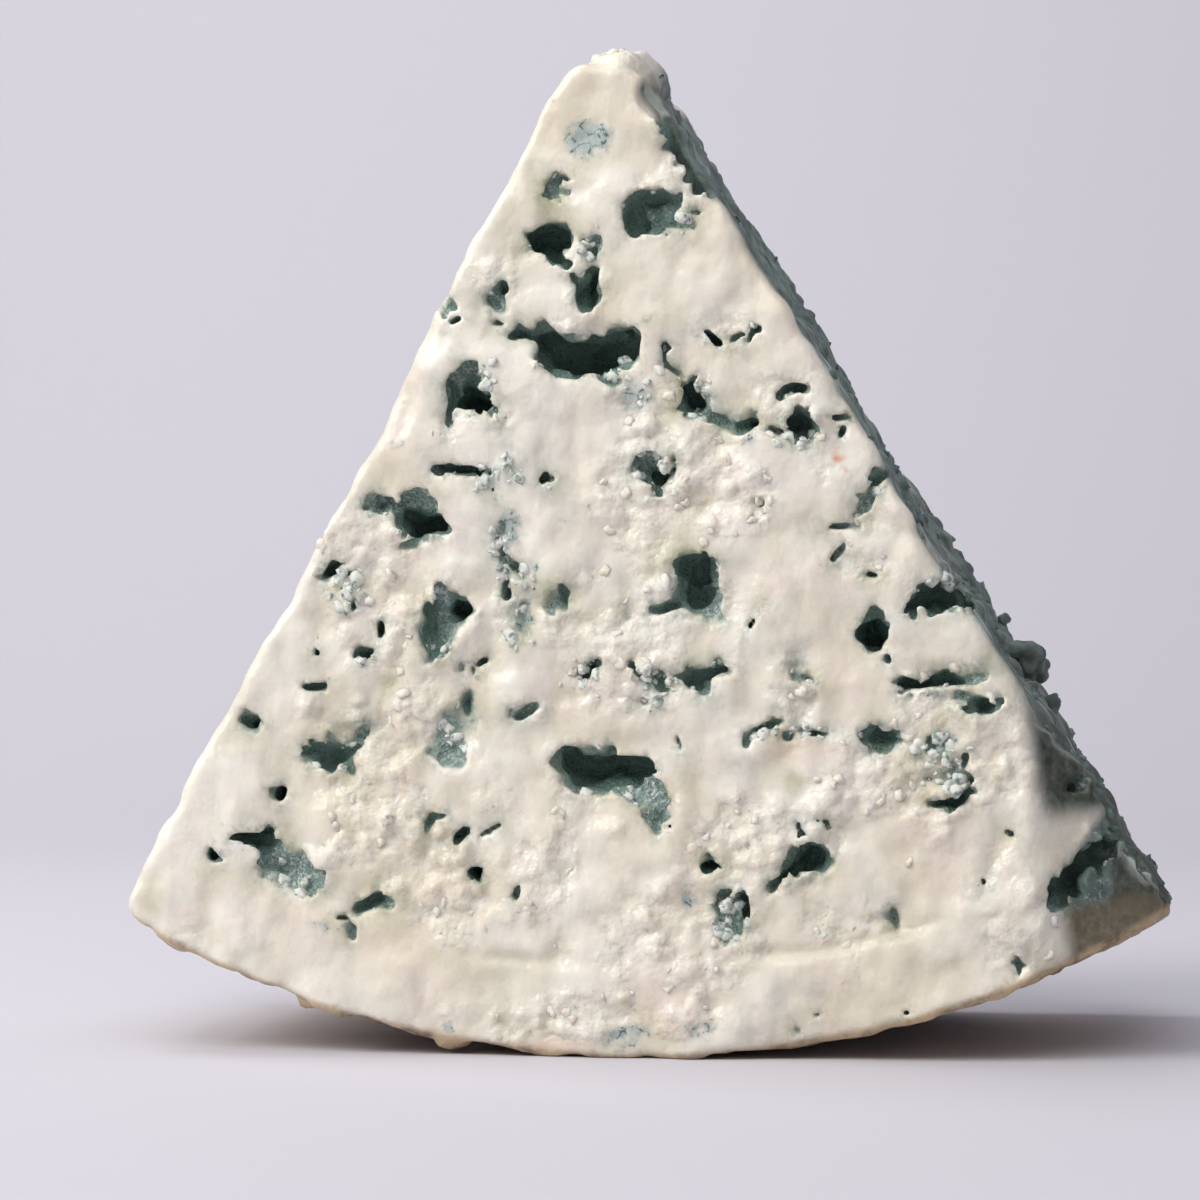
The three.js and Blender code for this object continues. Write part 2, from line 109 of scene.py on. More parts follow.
# Each eye is one or more hollows: (x, z, wide, high, deep, turned anticlockwise in degrees, mould).
EYES = {
    "point pit": [(-9.1, 84.3, 2.6, 2.6, 1.3, 0, 0.55), (-8.3, 85.0, 1.4, 1.4, 1.8, 20, DUSTED)],
    "mouldy bowl": [
        (1.2, 81.9, 6.2, 4.4, 2.6, 0, 0.5), (3.6, 81.5, 2.8, 2.4, 1.8, -10, 0.7),
        (-1.0, 81.5, 2.2, 3.8, 3.4, 0, 0.3), (0.8, 83.4, 3.6, 1.1, 3.0, -5, 0.25),
    ],
    "dark comma": [
        (-9.9, 79.4, 4.2, 2.7, 6.0, 10, BARE), (-9.7, 78.3, 3.0, 1.5, 5.0, -35, BARE),
        (-8.2, 77.2, 2.1, 1.0, 4.0, -45, BARE),
    ],
    "neck speck": [(-5.5, 78.7, 1.8, 2.3, 1.3, 0, FURRED)],
    "neck hole": [
        (-5.9, 74.5, 1.9, 3.9, 4.0, -8, 0.25), (-5.3, 76.0, 1.0, 1.4, 2.0, -10, DUSTED),
        (-7.2, 75.8, 0.9, 1.5, 1.6, 30, 0.5),
    ],
    "left dot": [
        (-14.4, 74.8, 1.2, 1.1, 2.0, 0, BARE), (-15.1, 73.7, 1.3, 2.3, 1.6, 20, 0.6),
        (-14.7, 71.5, 0.9, 0.5, 0.9, 0, DUSTED),
    ],
    "left notch": [
        (-19.4, 73.4, 0.7, 2.2, 1.6, 35, DUSTED), (-18.9, 71.6, 1.4, 0.6, 1.4, 30, DUSTED),
        (-20.2, 73.0, 1.6, 1.8, 1.2, 0, FURRED),
    ],
    "wide mouth": [
        (-6.0, 68.2, 8.8, 4.0, 8.0, 0, 0.2), (-9.8, 69.6, 3.8, 2.9, 6.0, -30, BARE),
        (-2.3, 69.3, 3.4, 3.2, 6.0, 35, BARE), (-4.6, 67.2, 4.0, 2.0, 3.2, 12, 0.6),
        (-12.3, 70.3, 3.0, 1.0, 2.0, -12, DUSTED), (-3.8, 66.1, 1.9, 1.2, 1.4, -45, DUSTED),
        (0.1, 71.4, 0.5, 2.4, 1.2, -25, BARE),
    ],
    "hooded eye": [
        (-18.1, 65.5, 3.9, 4.2, 2.0, 10, 0.7), (-19.4, 64.0, 1.0, 5.0, 2.2, 5, DUSTED),
        (-15.2, 65.0, 1.4, 3.2, 1.3, 30, FURRED), (-14.7, 62.7, 1.4, 1.4, 1.0, 0, FURRED),
    ],
    "hooded hole": [(-17.2, 63.9, 3.9, 2.7, 7.5, 0, BARE), (-17.4, 65.0, 2.0, 2.3, 6.0, 0, BARE)],
    "green teardrop": [
        (4.4, 64.1, 2.6, 3.7, 5.0, 15, 0.3), (6.8, 62.1, 3.0, 1.0, 2.2, -30, DUSTED),
        (5.8, 62.9, 1.3, 1.3, 1.8, 0, FURRED), (2.8, 66.6, 2.2, 0.5, 1.0, -35, DUSTED),
        (1.8, 68.6, 0.5, 2.6, 1.0, -5, DUSTED),
    ],
    "top slit": [
        (6.3, 69.5, 2.4, 0.9, 2.4, -35, BARE), (4.6, 70.1, 1.2, 0.7, 1.0, 0, FURRED),
        (8.6, 69.7, 1.8, 0.6, 1.0, 35, DUSTED),
    ],
    "top pit": [(10.6, 70.6, 1.2, 0.9, 1.4, 0, DUSTED), (10.1, 69.9, 0.6, 1.6, 0.9, -15, DUSTED)],
    "right arch": [(14.2, 65.0, 2.7, 1.2, 2.6, 5, 0.2), (13.1, 64.5, 1.3, 1.0, 1.6, 0, 0.6)],
    "right eye": [
        (14.3, 61.8, 3.5, 2.4, 4.0, -12, 0.25), (15.4, 61.0, 1.9, 2.2, 3.4, 0, 0.45),
        (14.4, 60.1, 0.7, 1.6, 1.6, -10, DUSTED), (12.4, 60.9, 1.6, 0.6, 1.0, -20, DUSTED),
    ],
    "small right eye": [(9.5, 61.7, 2.4, 1.6, 2.6, 0, 0.25), (10.1, 61.6, 1.2, 1.0, 4.0, 0, BARE)],
    "edge dip": [(18.8, 60.9, 0.7, 1.3, 1.4, -8, BARE), (18.4, 62.2, 3.0, 0.6, 1.0, 0, DUSTED)],
    "left slit": [
        (-18.2, 57.2, 5.6, 1.2, 2.6, 0, 0.3), (-15.9, 56.8, 3.4, 1.8, 2.4, -14, 0.4),
        (-13.6, 57.4, 2.2, 2.0, 1.5, 0, FURRED), (-20.3, 56.8, 1.6, 1.0, 1.2, -30, FURRED),
        (-15.0, 54.9, 0.5, 1.8, 1.0, 25, DUSTED),
    ],
    "small pit": [(-10.2, 56.1, 1.0, 1.6, 2.0, -20, BARE), (-9.4, 56.0, 1.0, 1.2, 1.0, 0, FURRED)],
    "middle bowl": [
        (0.2, 57.6, 3.0, 2.2, 2.0, 12, 0.6), (1.3, 56.6, 2.2, 1.6, 4.5, 0, BARE),
        (1.2, 55.3, 1.0, 1.8, 1.8, 10, DUSTED), (2.5, 57.6, 1.0, 1.8, 1.6, 0, DUSTED),
    ],
    "left cave": [
        (-22.2, 51.9, 4.9, 2.7, 7.0, -12, BARE), (-22.9, 50.8, 2.1, 2.0, 5.0, 0, BARE),
        (-20.5, 51.4, 2.2, 1.2, 4.0, -25, BARE),
    ],
    "left cave lip": [
        (-23.0, 53.8, 4.2, 2.0, 2.2, -8, 0.6), (-26.2, 54.0, 3.4, 1.6, 1.5, 8, 0.7),
        (-23.8, 49.7, 1.6, 0.8, 0.9, 20, DUSTED),
    ],
    "edge hole": [
        (-31.2, 47.3, 2.3, 1.6, 4.0, 8, BARE), (-29.2, 47.0, 1.4, 0.7, 1.4, 0, DUSTED),
        (-30.2, 45.5, 1.1, 1.2, 1.4, 20, 0.5), (-28.8, 44.0, 0.7, 1.2, 1.2, -20, DUSTED),
    ],
    "left groove": [
        (-14.0, 49.7, 1.5, 3.0, 1.5, 0, FURRED), (-13.0, 47.5, 2.4, 1.2, 1.7, -35, 0.4),
        (-13.8, 45.5, 1.0, 1.8, 2.4, 0, BARE), (-12.0, 42.3, 1.3, 3.4, 1.2, 8, FURRED),
    ],
    "tall cave": [
        (4.9, 47.5, 3.6, 3.2, 6.0, 0, 0.1), (4.3, 45.0, 3.4, 3.0, 5.0, 0, 0.15),
        (2.0, 43.8, 3.6, 1.0, 2.4, 8, DUSTED), (6.1, 44.4, 2.0, 3.4, 2.6, 0, FURRED),
        (6.4, 47.0, 1.2, 2.6, 2.4, 0, 0.5),
    ],
    "olive dip": [(-9.1, 44.3, 2.8, 1.7, 0.9, 25, 0.6), (-8.0, 45.0, 0.9, 2.4, 1.7, 8, 0.2)],
    "middle cracks": [
        (11.1, 54.1, 1.2, 0.7, 1.0, -10, DUSTED), (10.1, 42.2, 0.5, 1.8, 1.5, -30, BARE),
        (-1.9, 42.8, 0.5, 1.5, 1.1, 20, DUSTED), (3.0, 30.7, 0.4, 1.6, 1.0, 20, DUSTED),
    ],
    "right vein": [
        (22.5, 56.0, 2.4, 1.4, 2.0, 25, DUSTED), (21.2, 53.7, 3.8, 1.1, 1.6, 50, 0.55),
        (18.9, 51.6, 2.8, 0.5, 0.9, 0, DUSTED), (18.4, 49.0, 2.2, 0.9, 1.1, 55, 0.6),
        (17.2, 47.7, 0.8, 0.6, 0.9, 0, DUSTED),
    ],
    "right pinhole": [(21.7, 46.8, 1.3, 0.5, 1.6, -5, BARE)],
    "edge gash": [
        (26.4, 44.4, 4.0, 1.5, 5.0, 38, BARE), (28.2, 44.9, 3.6, 3.0, 6.0, 30, 0.15),
        (29.8, 44.5, 3.0, 2.0, 4.0, -20, 0.3),
    ],
    "black slot": [
        (21.7, 42.0, 2.4, 2.6, 7.0, 0, BARE), (21.8, 40.9, 2.3, 2.2, 7.0, 0, BARE),
        (23.1, 39.0, 0.8, 1.2, 1.2, 20, FURRED),
    ],
    "powdery dip": [(-18.8, 31.4, 3.0, 6.0, 1.0, -15, 0.5), (-19.8, 29.8, 3.2, 2.6, 0.9, 0, 0.5)],
    "mouldy hollow": [
        (-20.4, 42.4, 3.1, 6.8, 2.2, 0, 0.65), (-21.4, 41.9, 1.2, 6.6, 2.8, 2, DUSTED),
        (-19.2, 44.6, 1.4, 1.4, 2.0, 0, DUSTED),
    ],
    "hollow hole": [(-18.3, 43.5, 2.6, 1.8, 6.0, -40, BARE)],
    "under the hollow": [
        (-16.4, 38.4, 1.3, 0.8, 2.4, 25, BARE), (-17.1, 37.6, 0.5, 1.6, 1.4, 20, DUSTED),
        (-18.3, 37.9, 0.8, 1.0, 1.0, 0, 0.5),
    ],
    "left pinholes": [
        (-27.8, 39.1, 1.7, 1.4, 3.0, 0, 0.2), (-26.4, 41.7, 0.8, 1.9, 3.5, -10, BARE),
        (-39.2, 32.6, 2.2, 1.5, 3.0, 10, 0.2), (-36.5, 25.5, 1.4, 2.0, 5.0, -8, BARE),
        (-32.8, 36.1, 2.4, 0.7, 2.0, 4, BARE), (-32.7, 39.3, 0.5, 0.8, 1.5, 0, BARE),
    ],
    "dark tick": [(-17.8, 34.4, 1.0, 2.4, 2.6, -12, BARE)],
    "left tear": [
        (-31.2, 29.7, 6.2, 1.9, 2.8, 8, 0.3), (-31.6, 28.9, 2.8, 1.8, 3.2, -15, 0.2),
        (-28.4, 31.7, 3.0, 1.7, 1.8, 50, 0.5), (-30.2, 30.8, 3.4, 1.4, 0.9, 25, 0.6),
        (-29.3, 28.4, 1.0, 2.2, 1.8, 15, DUSTED),
    ],
    "grain pit": [(-5.3, 38.0, 1.0, 1.9, 2.6, -20, BARE), (-6.1, 37.2, 1.7, 1.2, 2.2, 30, BARE)],
    "middle fleck": [(-11.9, 33.8, 2.8, 1.2, 1.6, 20, 0.55)],
    "grey hollow": [
        (0.9, 36.7, 1.5, 2.4, 2.0, 0, 0.35), (-1.0, 37.5, 0.8, 2.2, 1.4, 40, 0.5),
        (-0.3, 34.6, 1.2, 0.8, 0.9, 0, FURRED),
    ],
    "arched eye": [
        (5.9, 37.6, 4.7, 1.2, 3.0, 10, 0.15), (4.7, 36.8, 2.5, 1.9, 3.0, -20, 0.2),
        (5.5, 35.8, 1.3, 1.6, 1.8, -15, 0.6), (2.9, 37.1, 1.6, 0.5, 1.0, 0, DUSTED),
    ],
    "right spot": [(15.6, 37.0, 1.6, 0.8, 1.0, 0, DUSTED), (14.5, 37.6, 1.0, 1.4, 0.8, 0, FURRED)],
    "right slit": [
        (27.6, 36.4, 6.4, 1.6, 3.6, 12, 0.15), (25.0, 36.5, 1.8, 1.2, 1.8, -10, 0.5),
        (31.2, 37.3, 3.4, 1.6, 1.4, 12, FURRED), (32.4, 34.6, 3.0, 1.9, 3.0, 10, 0.2),
        (30.4, 35.2, 1.8, 1.0, 1.2, 20, 0.6), (31.0, 33.8, 1.6, 0.9, 1.6, -20, 0.5),
    ],
    "smeared groove": [
        (11.5, 32.2, 3.4, 0.8, 1.3, 20, DUSTED), (13.7, 31.5, 1.3, 0.9, 1.0, 0, 0.6),
        (16.0, 31.8, 3.2, 0.4, 0.9, -3, DUSTED), (9.8, 31.0, 0.7, 1.8, 0.9, -15, 0.6),
    ],
    "right bowl": [
        (22.4, 31.7, 3.1, 1.9, 3.5, 0, 0.2), (22.7, 30.7, 2.4, 1.5, 2.4, 20, 0.5),
        (24.2, 31.0, 1.2, 0.7, 1.4, 0, DUSTED),
    ],
    "right fur": [
        (27.2, 30.6, 1.0, 1.6, 1.4, 0, 0.5), (28.6, 30.6, 0.7, 1.4, 1.4, -10, DUSTED),
        (27.5, 27.5, 1.6, 0.7, 1.0, 0, DUSTED), (30.7, 29.0, 0.8, 1.8, 1.6, 0, BARE),
    ],
    "right cup": [
        (29.6, 25.3, 3.6, 1.0, 3.0, 10, BARE), (31.0, 26.3, 1.1, 2.4, 2.4, -5, BARE),
        (29.4, 27.2, 2.8, 2.2, 1.0, 0, FURRED),
    ],
    "low cave": [
        (-5.7, 27.9, 6.2, 3.7, 5.5, -8, BARE), (-3.8, 28.3, 9.8, 3.1, 7.0, -6, BARE),
        (-7.6, 29.2, 2.6, 2.0, 5.0, 0, BARE), (-3.8, 30.0, 1.0, 1.8, 2.4, 0, BARE),
    ],
    "low cave floor": [
        (-0.8, 26.4, 5.4, 3.0, 2.0, -25, 0.75), (0.9, 24.2, 1.9, 3.6, 1.3, 12, 0.6),
        (-5.2, 26.2, 4.2, 1.2, 2.2, 0, 0.7), (2.2, 22.5, 0.5, 1.0, 1.0, -10, BARE),
    ],
    "low slit": [
        (15.6, 19.4, 3.9, 2.7, 5.0, 30, BARE), (14.0, 18.4, 2.6, 1.6, 4.0, 35, BARE),
        (12.5, 17.2, 2.0, 0.9, 1.6, 40, DUSTED),
    ],
    "low spot": [(15.8, 21.9, 2.6, 2.6, 0.9, 0, 0.6), (16.6, 23.2, 2.2, 1.0, 0.8, -35, 0.6)],
    "low dots": [
        (6.1, 19.2, 1.6, 1.4, 3.5, 0, BARE), (-16.8, 17.8, 1.4, 1.4, 5.0, 0, BARE),
        (-18.4, 21.6, 2.0, 0.9, 3.0, 45, BARE), (-21.5, 23.0, 0.7, 2.2, 1.4, -15, DUSTED),
        (-15.3, 22.2, 2.4, 0.4, 1.0, 25, DUSTED),
    ],
    "low crumble": [(-12.8, 16.2, 0.9, 1.6, 1.0, -20, 0.6), (-20.6, 23.6, 1.8, 0.6, 1.2, 0, DUSTED)],
    "leaf": [(-27.3, 15.1, 3.3, 1.6, 2.2, 35, 0.25), (-25.7, 15.0, 1.2, 1.4, 1.0, 0, 0.6)],
    "leaf dot": [(-29.1, 12.4, 1.2, 1.2, 0.9, 0, 0.5), (-30.0, 13.4, 1.4, 0.4, 1.0, 0, DUSTED)],
    "crescent": [
        (-36.2, 18.6, 6.6, 3.2, 2.0, -38, 0.6), (-34.0, 17.6, 4.4, 2.6, 1.5, -30, 0.75),
        (-38.6, 20.9, 4.8, 2.0, 2.6, -8, 0.35),
    ],
    "crescent arch": [(-39.2, 21.7, 4.8, 1.3, 3.6, 2, BARE), (-42.7, 19.3, 1.5, 1.4, 3.0, 20, BARE)],
    "keyhole": [(8.0, 14.1, 3.0, 5.0, 1.5, 0, FURRED), (7.6, 16.2, 1.8, 1.0, 1.4, 25, 0.5)],
    "keyhole edge": [(9.5, 15.0, 1.0, 3.2, 3.0, 15, BARE), (9.0, 12.6, 0.7, 2.0, 1.5, -10, 0.5)],
    "right marks": [
        (23.8, 14.0, 0.8, 2.5, 1.5, 12, DUSTED), (35.6, 9.6, 0.5, 2.0, 1.2, 10, DUSTED),
        (35.8, 9.7, 1.6, 0.5, 1.0, -10, DUSTED), (34.9, 22.2, 1.0, 0.6, 1.0, -20, DUSTED),
        (32.3, 17.3, 0.9, 0.9, 0.8, 0, 0.5), (16.3, 4.6, 0.8, 0.5, 1.0, 0, DUSTED),
        (25.1, 4.8, 0.7, 0.5, 1.0, 0, DUSTED), (14.6, 3.2, 0.9, 0.6, 1.0, 0, DUSTED),
        (-48.6, 10.9, 1.8, 0.4, 1.2, 10, DUSTED),
    ],
    "bevel crevice": [
        (41.2, 18.2, 6.6, 2.8, 3.6, 42, 0.1), (43.4, 20.6, 3.4, 2.4, 5.0, 75, BARE),
        (39.4, 16.2, 2.6, 3.4, 3.0, 10, BARE), (42.8, 18.0, 4.6, 3.0, 2.6, 30, 0.3),
    ],
    "torn strip": [(3.7, 88.0, 9.4, 2.7, 2.8, -59, BARE), (5.4, 85.2, 4.4, 2.0, 2.6, -59, BARE)],
}

# Lumps of paste that reach into the eyes: (x, z, wide, high, turned, proud of the face).
FLAPS = [
    (-7.2, 70.5, 3.0, 1.9, -20, 0.1), (-3.0, 71.0, 1.8, 1.3, 0, 0.1), (-8.5, 78.4, 1.0, 0.8, 0, 0.0),
    (-17.9, 40.3, 3.7, 3.5, 0, 0.55), (1.6, 45.9, 2.8, 3.0, 0, 0.3), (1.9, 57.9, 1.4, 1.3, 0, 0.0),
    (-5.9, 37.5, 0.9, 0.9, 0, 0.1), (-1.9, 35.7, 3.4, 2.6, 0, 0.35), (-12.6, 49.3, 2.2, 2.4, 0, 0.3),
    (-12.8, 46.2, 1.8, 1.6, 0, 0.3), (29.2, 26.3, 2.4, 1.5, 12, 0.1), (-14.0, 55.7, 2.7, 1.7, 5, 0.4),
    (-17.2, 56.2, 1.2, 0.9, 0, 0.1), (-29.4, 45.0, 1.3, 2.0, 30, 0.4), (-30.8, 46.0, 1.3, 1.2, 0, 0.3),
    (-30.3, 47.4, 0.8, 1.6, -20, 0.2), (11.2, 42.4, 2.2, 1.1, 20, 0.45), (-20.5, 22.0, 2.4, 1.8, 0, 0.3),
    (-41.6, 20.7, 1.5, 1.2, 0, 0.2), (14.9, 59.9, 0.8, 0.9, 0, 0.1), (14.1, 64.2, 1.7, 0.9, 8, 0.2),
    (27.8, 29.2, 1.8, 1.5, 0, 0.3), (29.4, 29.6, 1.4, 1.6, 0, 0.3), (-19.9, 39.6, 1.0, 1.2, 0, 0.2),
    (5.9, 34.9, 2.4, 1.6, 0, 0.3), (15.4, 35.8, 2.2, 1.6, 0, 0.4), (27.2, 35.4, 4.6, 1.0, 5, 0.25),
    (7.4, 15.2, 1.0, 1.0, 0, 0.1), (42.2, 17.0, 2.8, 2.6, 10, -0.4), (40.4, 24.0, 1.5, 2.2, -20, 0.5),
    (41.8, 22.9, 1.3, 1.7, 0, 0.6), (42.6, 21.8, 1.1, 1.4, 20, 0.5), (41.2, 21.6, 1.6, 1.2, 0, 0.4),
]

# Mould that lies flush in the broad face: (x, z, wide, high, how much).
FLUSH_MOULD = [
    (-5.6, 89.1, 4.4, 3.4, 0.9), (-0.8, 64.2, 3.6, 3.2, 0.7), (10.0, 59.9, 2.2, 1.4, 0.4),
    (-24.4, 59.8, 2.0, 1.4, 0.4), (4.0, 15.6, 1.6, 2.6, 0.5), (-2.0, 2.4, 4.6, 2.8, 0.6),
    (5.4, 3.0, 3.6, 2.4, 0.45), (-7.0, 5.6, 2.6, 1.6, 0.35), (-19.4, 3.0, 1.4, 1.4, 0.6),
    (-32.0, 12.5, 4.0, 1.2, 0.4), (-8.0, 52.5, 1.2, 1.8, 0.5), (-13.4, 51.4, 2.4, 3.4, 0.7),
    (-12.6, 43.0, 3.0, 3.4, 0.6), (10.6, 53.6, 1.4, 1.4, 0.5), (28.4, 30.6, 2.8, 2.6, 0.8),
]

# Curds lined with mould crowd in these places: (x, z, half width, half height, how many).
CURD_PATCHES = [
    (-29.6, 45.7, 1.5, 2.6, 1.0), (-14.4, 49.4, 1.0, 2.6, 1.0), (-12.4, 46.4, 1.6, 1.4, 0.8),
    (-13.4, 57.0, 1.6, 1.6, 1.0), (-16.6, 56.0, 1.8, 0.6, 0.8), (-9.7, 56.0, 1.0, 1.0, 1.0),
    (-15.6, 65.4, 1.1, 2.4, 0.8), (-3.4, 66.8, 2.2, 1.2, 0.8), (-0.8, 64.2, 1.8, 1.8, 0.5),
    (1.6, 57.2, 1.8, 1.4, 0.8), (-5.7, 37.6, 1.2, 1.2, 1.0), (0.6, 36.4, 1.8, 1.8, 0.7),
    (28.0, 29.4, 2.2, 2.6, 1.0), (29.4, 27.0, 2.0, 1.4, 0.9), (-13.0, 42.0, 1.6, 2.2, 0.6),
    (12.4, 31.8, 2.6, 1.0, 0.7), (8.0, 13.4, 1.4, 2.0, 0.8), (-0.8, 25.6, 2.6, 0.9, 0.7),
    (-5.6, 78.6, 0.9, 1.2, 0.9), (14.6, 60.2, 2.0, 1.0, 0.7), (33.0, 17.2, 1.2, 1.2, 0.5),
]

# Stains of the paste: (x, z, wide, high, how much).
OLIVE_STAINS = [
    (-9.4, 83.2, 4.0, 4.4, 0.8), (2.8, 63.4, 3.6, 5.0, 0.9), (2.6, 48.6, 5.4, 4.0, 0.7),
    (-12.4, 42.2, 3.6, 4.4, 0.5), (-9.2, 45.4, 4.0, 3.4, 0.8), (14.3, 26.9, 2.0, 2.0, 0.9),
    (26.6, 25.6, 1.6, 1.6, 0.8), (-25.2, 36.6, 2.0, 1.4, 0.9), (-49.0, 15.0, 3.0, 3.0, 0.5),
    (-26.0, 15.0, 5.0, 4.0, 0.5),
]
OCHRE_STAINS = [
    (-9.0, 1.4, 6.4, 1.2, 0.35), (18.4, 58.1, 0.9, 0.8, 1.3), (19.4, 56.8, 0.4, 0.4, 1.0),
    (15.0, 30.0, 8.0, 2.4, 0.2), (-38.0, 50.0, 2.0, 4.0, 0.3),
]

# --- Lumps that stand proud: (x, y, z, half width, half depth, half height) --------------------

POINT_LUMPS = [
    (-3.3, -16.4, 95.2, 4.3, 7.8, 3.4), (-4.0, -1.0, 94.2, 2.9, 14.0, 3.2),
    (-4.0, 15.5, 94.3, 3.0, 9.0, 3.2),
]
POINT_SCOOP = (1.9, -25.4, 94.0, 3.0, 3.0, 2.9)
RIM_LUMPS = [
    (-33.0, -23.4, 6.0, 1.6, 1.6, 1.5), (-19.4, -23.2, 2.0, 1.8, 2.0, 1.2),
    (6.4, -23.4, 1.7, 1.7, 1.8, 1.1),
]

# Crumbs stuck to the right cut: (distance down the cut from where the cuts meet, y, radius).
CRUMBS = [
    (73.6, 1.0, 2.0), (75.4, 2.0, 1.8), (79.0, 0.0, 1.2), (44.9, 19.0, 1.4), (69.0, 15.0, 0.9),
]

# Patches of painted shade by the point, in the torn strip and in the scoop: (x, z, half width, half height,
# how much).
TORN_STRIP = [(3.4, 88.6, 1.6, 3.0, 1.0), (5.4, 85.4, 1.6, 2.6, 1.0)]
SCOOPED = [(1.9, 93.8, 3.0, 3.2, 0.5)]

# The faces out of sight carry eyes too, drawn at random: how many, and the seed of the draw.
BACK_EYES = (11, 41)
LEFT_EYES = (6, 57)
RIGHT_EYES = (6, 73)
BACK_PITS = (44, 143)
LEFT_PITS = (30, 157)
RIGHT_PITS = (16, 171)
LOBES_SEED = 613

# Drawn eyes and pits: how wide from and to, and how far they stay from an edge.
EYE_SIZES = (2.2, 7.5, 5.0)
PIT_SIZES = (0.9, 4.2, 1.5)
EYE_GAP = 2.0
EYE_DEPTHS = (2, 6)
EYE_SLIMNESS = (0.45, 0.85)

# Rough curd shows on the broad face in these places: (x, z, half width, half height, how rough).
ROUGH_PATCHES = [
    (-28.0, 29.0, 7.0, 9.0, 1.0), (3.0, 54.5, 9.0, 5.0, 0.9), (-14.0, 16.0, 7.0, 6.0, 0.9),
    (27.0, 28.5, 5.0, 5.0, 0.9), (14.0, 24.0, 7.0, 6.0, 0.8), (-22.0, 47.0, 3.5, 6.0, 0.5),
    (-8.0, 43.0, 6.0, 6.0, 0.6), (-20.0, 60.0, 4.0, 6.0, 0.4), (4.0, 11.0, 12.0, 4.0, 0.6),
    (-31.0, 48.0, 4.0, 4.0, 0.7), (22.0, 12.0, 10.0, 4.0, 0.5), (-2.0, 38.0, 7.0, 4.0, 0.8),
    (-6.0, 4.0, 16.0, 2.5, 0.8), (22.0, 57.0, 5.0, 3.0, 0.6),
]

# --- Small helpers -----------------------------------------------------------------------------


def smoothstep(value, low, high):
    """0 below low, 1 above high, and an S-curve between them."""
    share = np.clip((value - low) / (high - low), 0.0, 1.0)
    return share * share * (3.0 - 2.0 * share)


def falling(value, low, high):
    return 1.0 - smoothstep(value, low, high)


def near_face(y, fade):
    return falling(y, FRONT + fade[0], FRONT + fade[1])


def lerp(low, high, share):
    return low + (high - low) * share


def soft_ramp(value, ease):
    """Rises from 0 along a straight slope, with a soft start."""
    return (value + np.hypot(value, ease)) / 2


def noise(axes, wavelength, seed):
    """Smooth noise between -1 and 1 over the grid that the axes span. One wavelength, or one per axis."""
    wavelengths = np.broadcast_to(wavelength, len(axes))
    cells = []
    for axis, length in zip(axes, wavelengths):
        scaled = axis / length
        cell = np.floor(scaled).astype(int)
        part = (scaled - cell).astype(np.float32)
        cells.append((cell - cell.min(), part**3 * (part * (6 * part - 15) + 10)))
    shape = [int(cell.max()) + 2 for cell, _ in cells]
    values = np.random.default_rng(seed).uniform(-1, 1, shape).astype(np.float32)
    for number, (cell, ease) in enumerate(cells):
        along = [1] * len(cells)
        along[number] = -1
        before = np.take(values, cell, axis=number)
        after = np.take(values, cell + 1, axis=number)
        values = before + ease.reshape(along) * (after - before)
    return values


def rounded_meet(fields, radius):
    """Distance to where the solids overlap, with their meeting edges rounded."""
    outside = sum(np.maximum(field + radius, 0.0) ** 2 for field in fields)
    deepest = fields[0]
    for field in fields[1:]:
        deepest = np.maximum(deepest, field)
    return np.sqrt(outside) - radius + np.minimum(deepest + radius, 0.0)


def smooth_join(first, second, ease):
    """Distance to two solids joined with a fillet."""
    share = np.clip(0.5 + 0.5 * (second - first) / ease, 0.0, 1.0)
    return lerp(second, first, share) - ease * share * (1.0 - share)


def smooth_cut(first, second, ease):
    """Distance to the first solid with the second cut out of it."""
    return -smooth_join(-first, second, ease)


def pick(field, points):
    """The grid field's values at points in grid steps, straight-line interpolated."""
    low = np.clip(np.floor(points).astype(int), 0, np.array(field.shape) - 2)
    part = points - low
    total = np.zeros(len(points), dtype=np.float32)
    for corner in np.ndindex(2, 2, 2):
        weight = np.prod(np.where(np.array(corner) == 1, part, 1 - part), axis=1)
        index = tuple((low + corner).T)
        total += weight * field[index]
    return total


# --- The plain wedge ---------------------------------------------------------------------------

AXES = [np.arange(low, high, VOXEL, dtype=np.float32) for low, high in zip(GRID_LOW, GRID_HIGH)]
X = AXES[0][:, None, None]
Y = AXES[1][None, :, None]
Z = AXES[2][None, None, :]


def from_wheel_axis(x, z):
    return np.hypot(x - WHEEL_AXIS[0], z - WHEEL_AXIS[1])


def beyond_left_cut(x, z):
    return (CUTS_MEET[0] - x) * math.cos(LEFT_CUT) + (z - CUTS_MEET[1]) * math.sin(LEFT_CUT)


def beyond_right_cut(x, z):
    return (x - CUTS_MEET[0]) * math.cos(RIGHT_CUT) + (z - CUTS_MEET[1]) * math.sin(RIGHT_CUT)


def flare(x, z):
    """By what share the wheel is out of round at its back: nothing at the left, most at the right."""
    lean = np.arctan2(x - WHEEL_AXIS[0], np.maximum(WHEEL_AXIS[1] - z, 1.0))
    return (RIND_FLARE / WHEEL_RADIUS) * smoothstep(lean, 0.0, RIGHT_CUT)


def front_recess(x, z):
    """How far the broad face lies behind its flat cut at a place."""
    down = (BEVEL_TOP[1] - z) / (BEVEL_TOP[1] - BEVEL_FOOT[1])
    past_line = x - lerp(BEVEL_TOP[0], BEVEL_FOOT[0], down)
    torn = BEVEL_SLOPE * soft_ramp(past_line, BEVEL_EASE)
    from_rind = WHEEL_RADIUS - from_wheel_axis(x, z)
    band = falling(from_rind, BAND_WIDTH - BAND_EASE, BAND_WIDTH + BAND_EASE)
    return np.minimum(torn, THICKNESS / 3) - BAND_PROUD * band


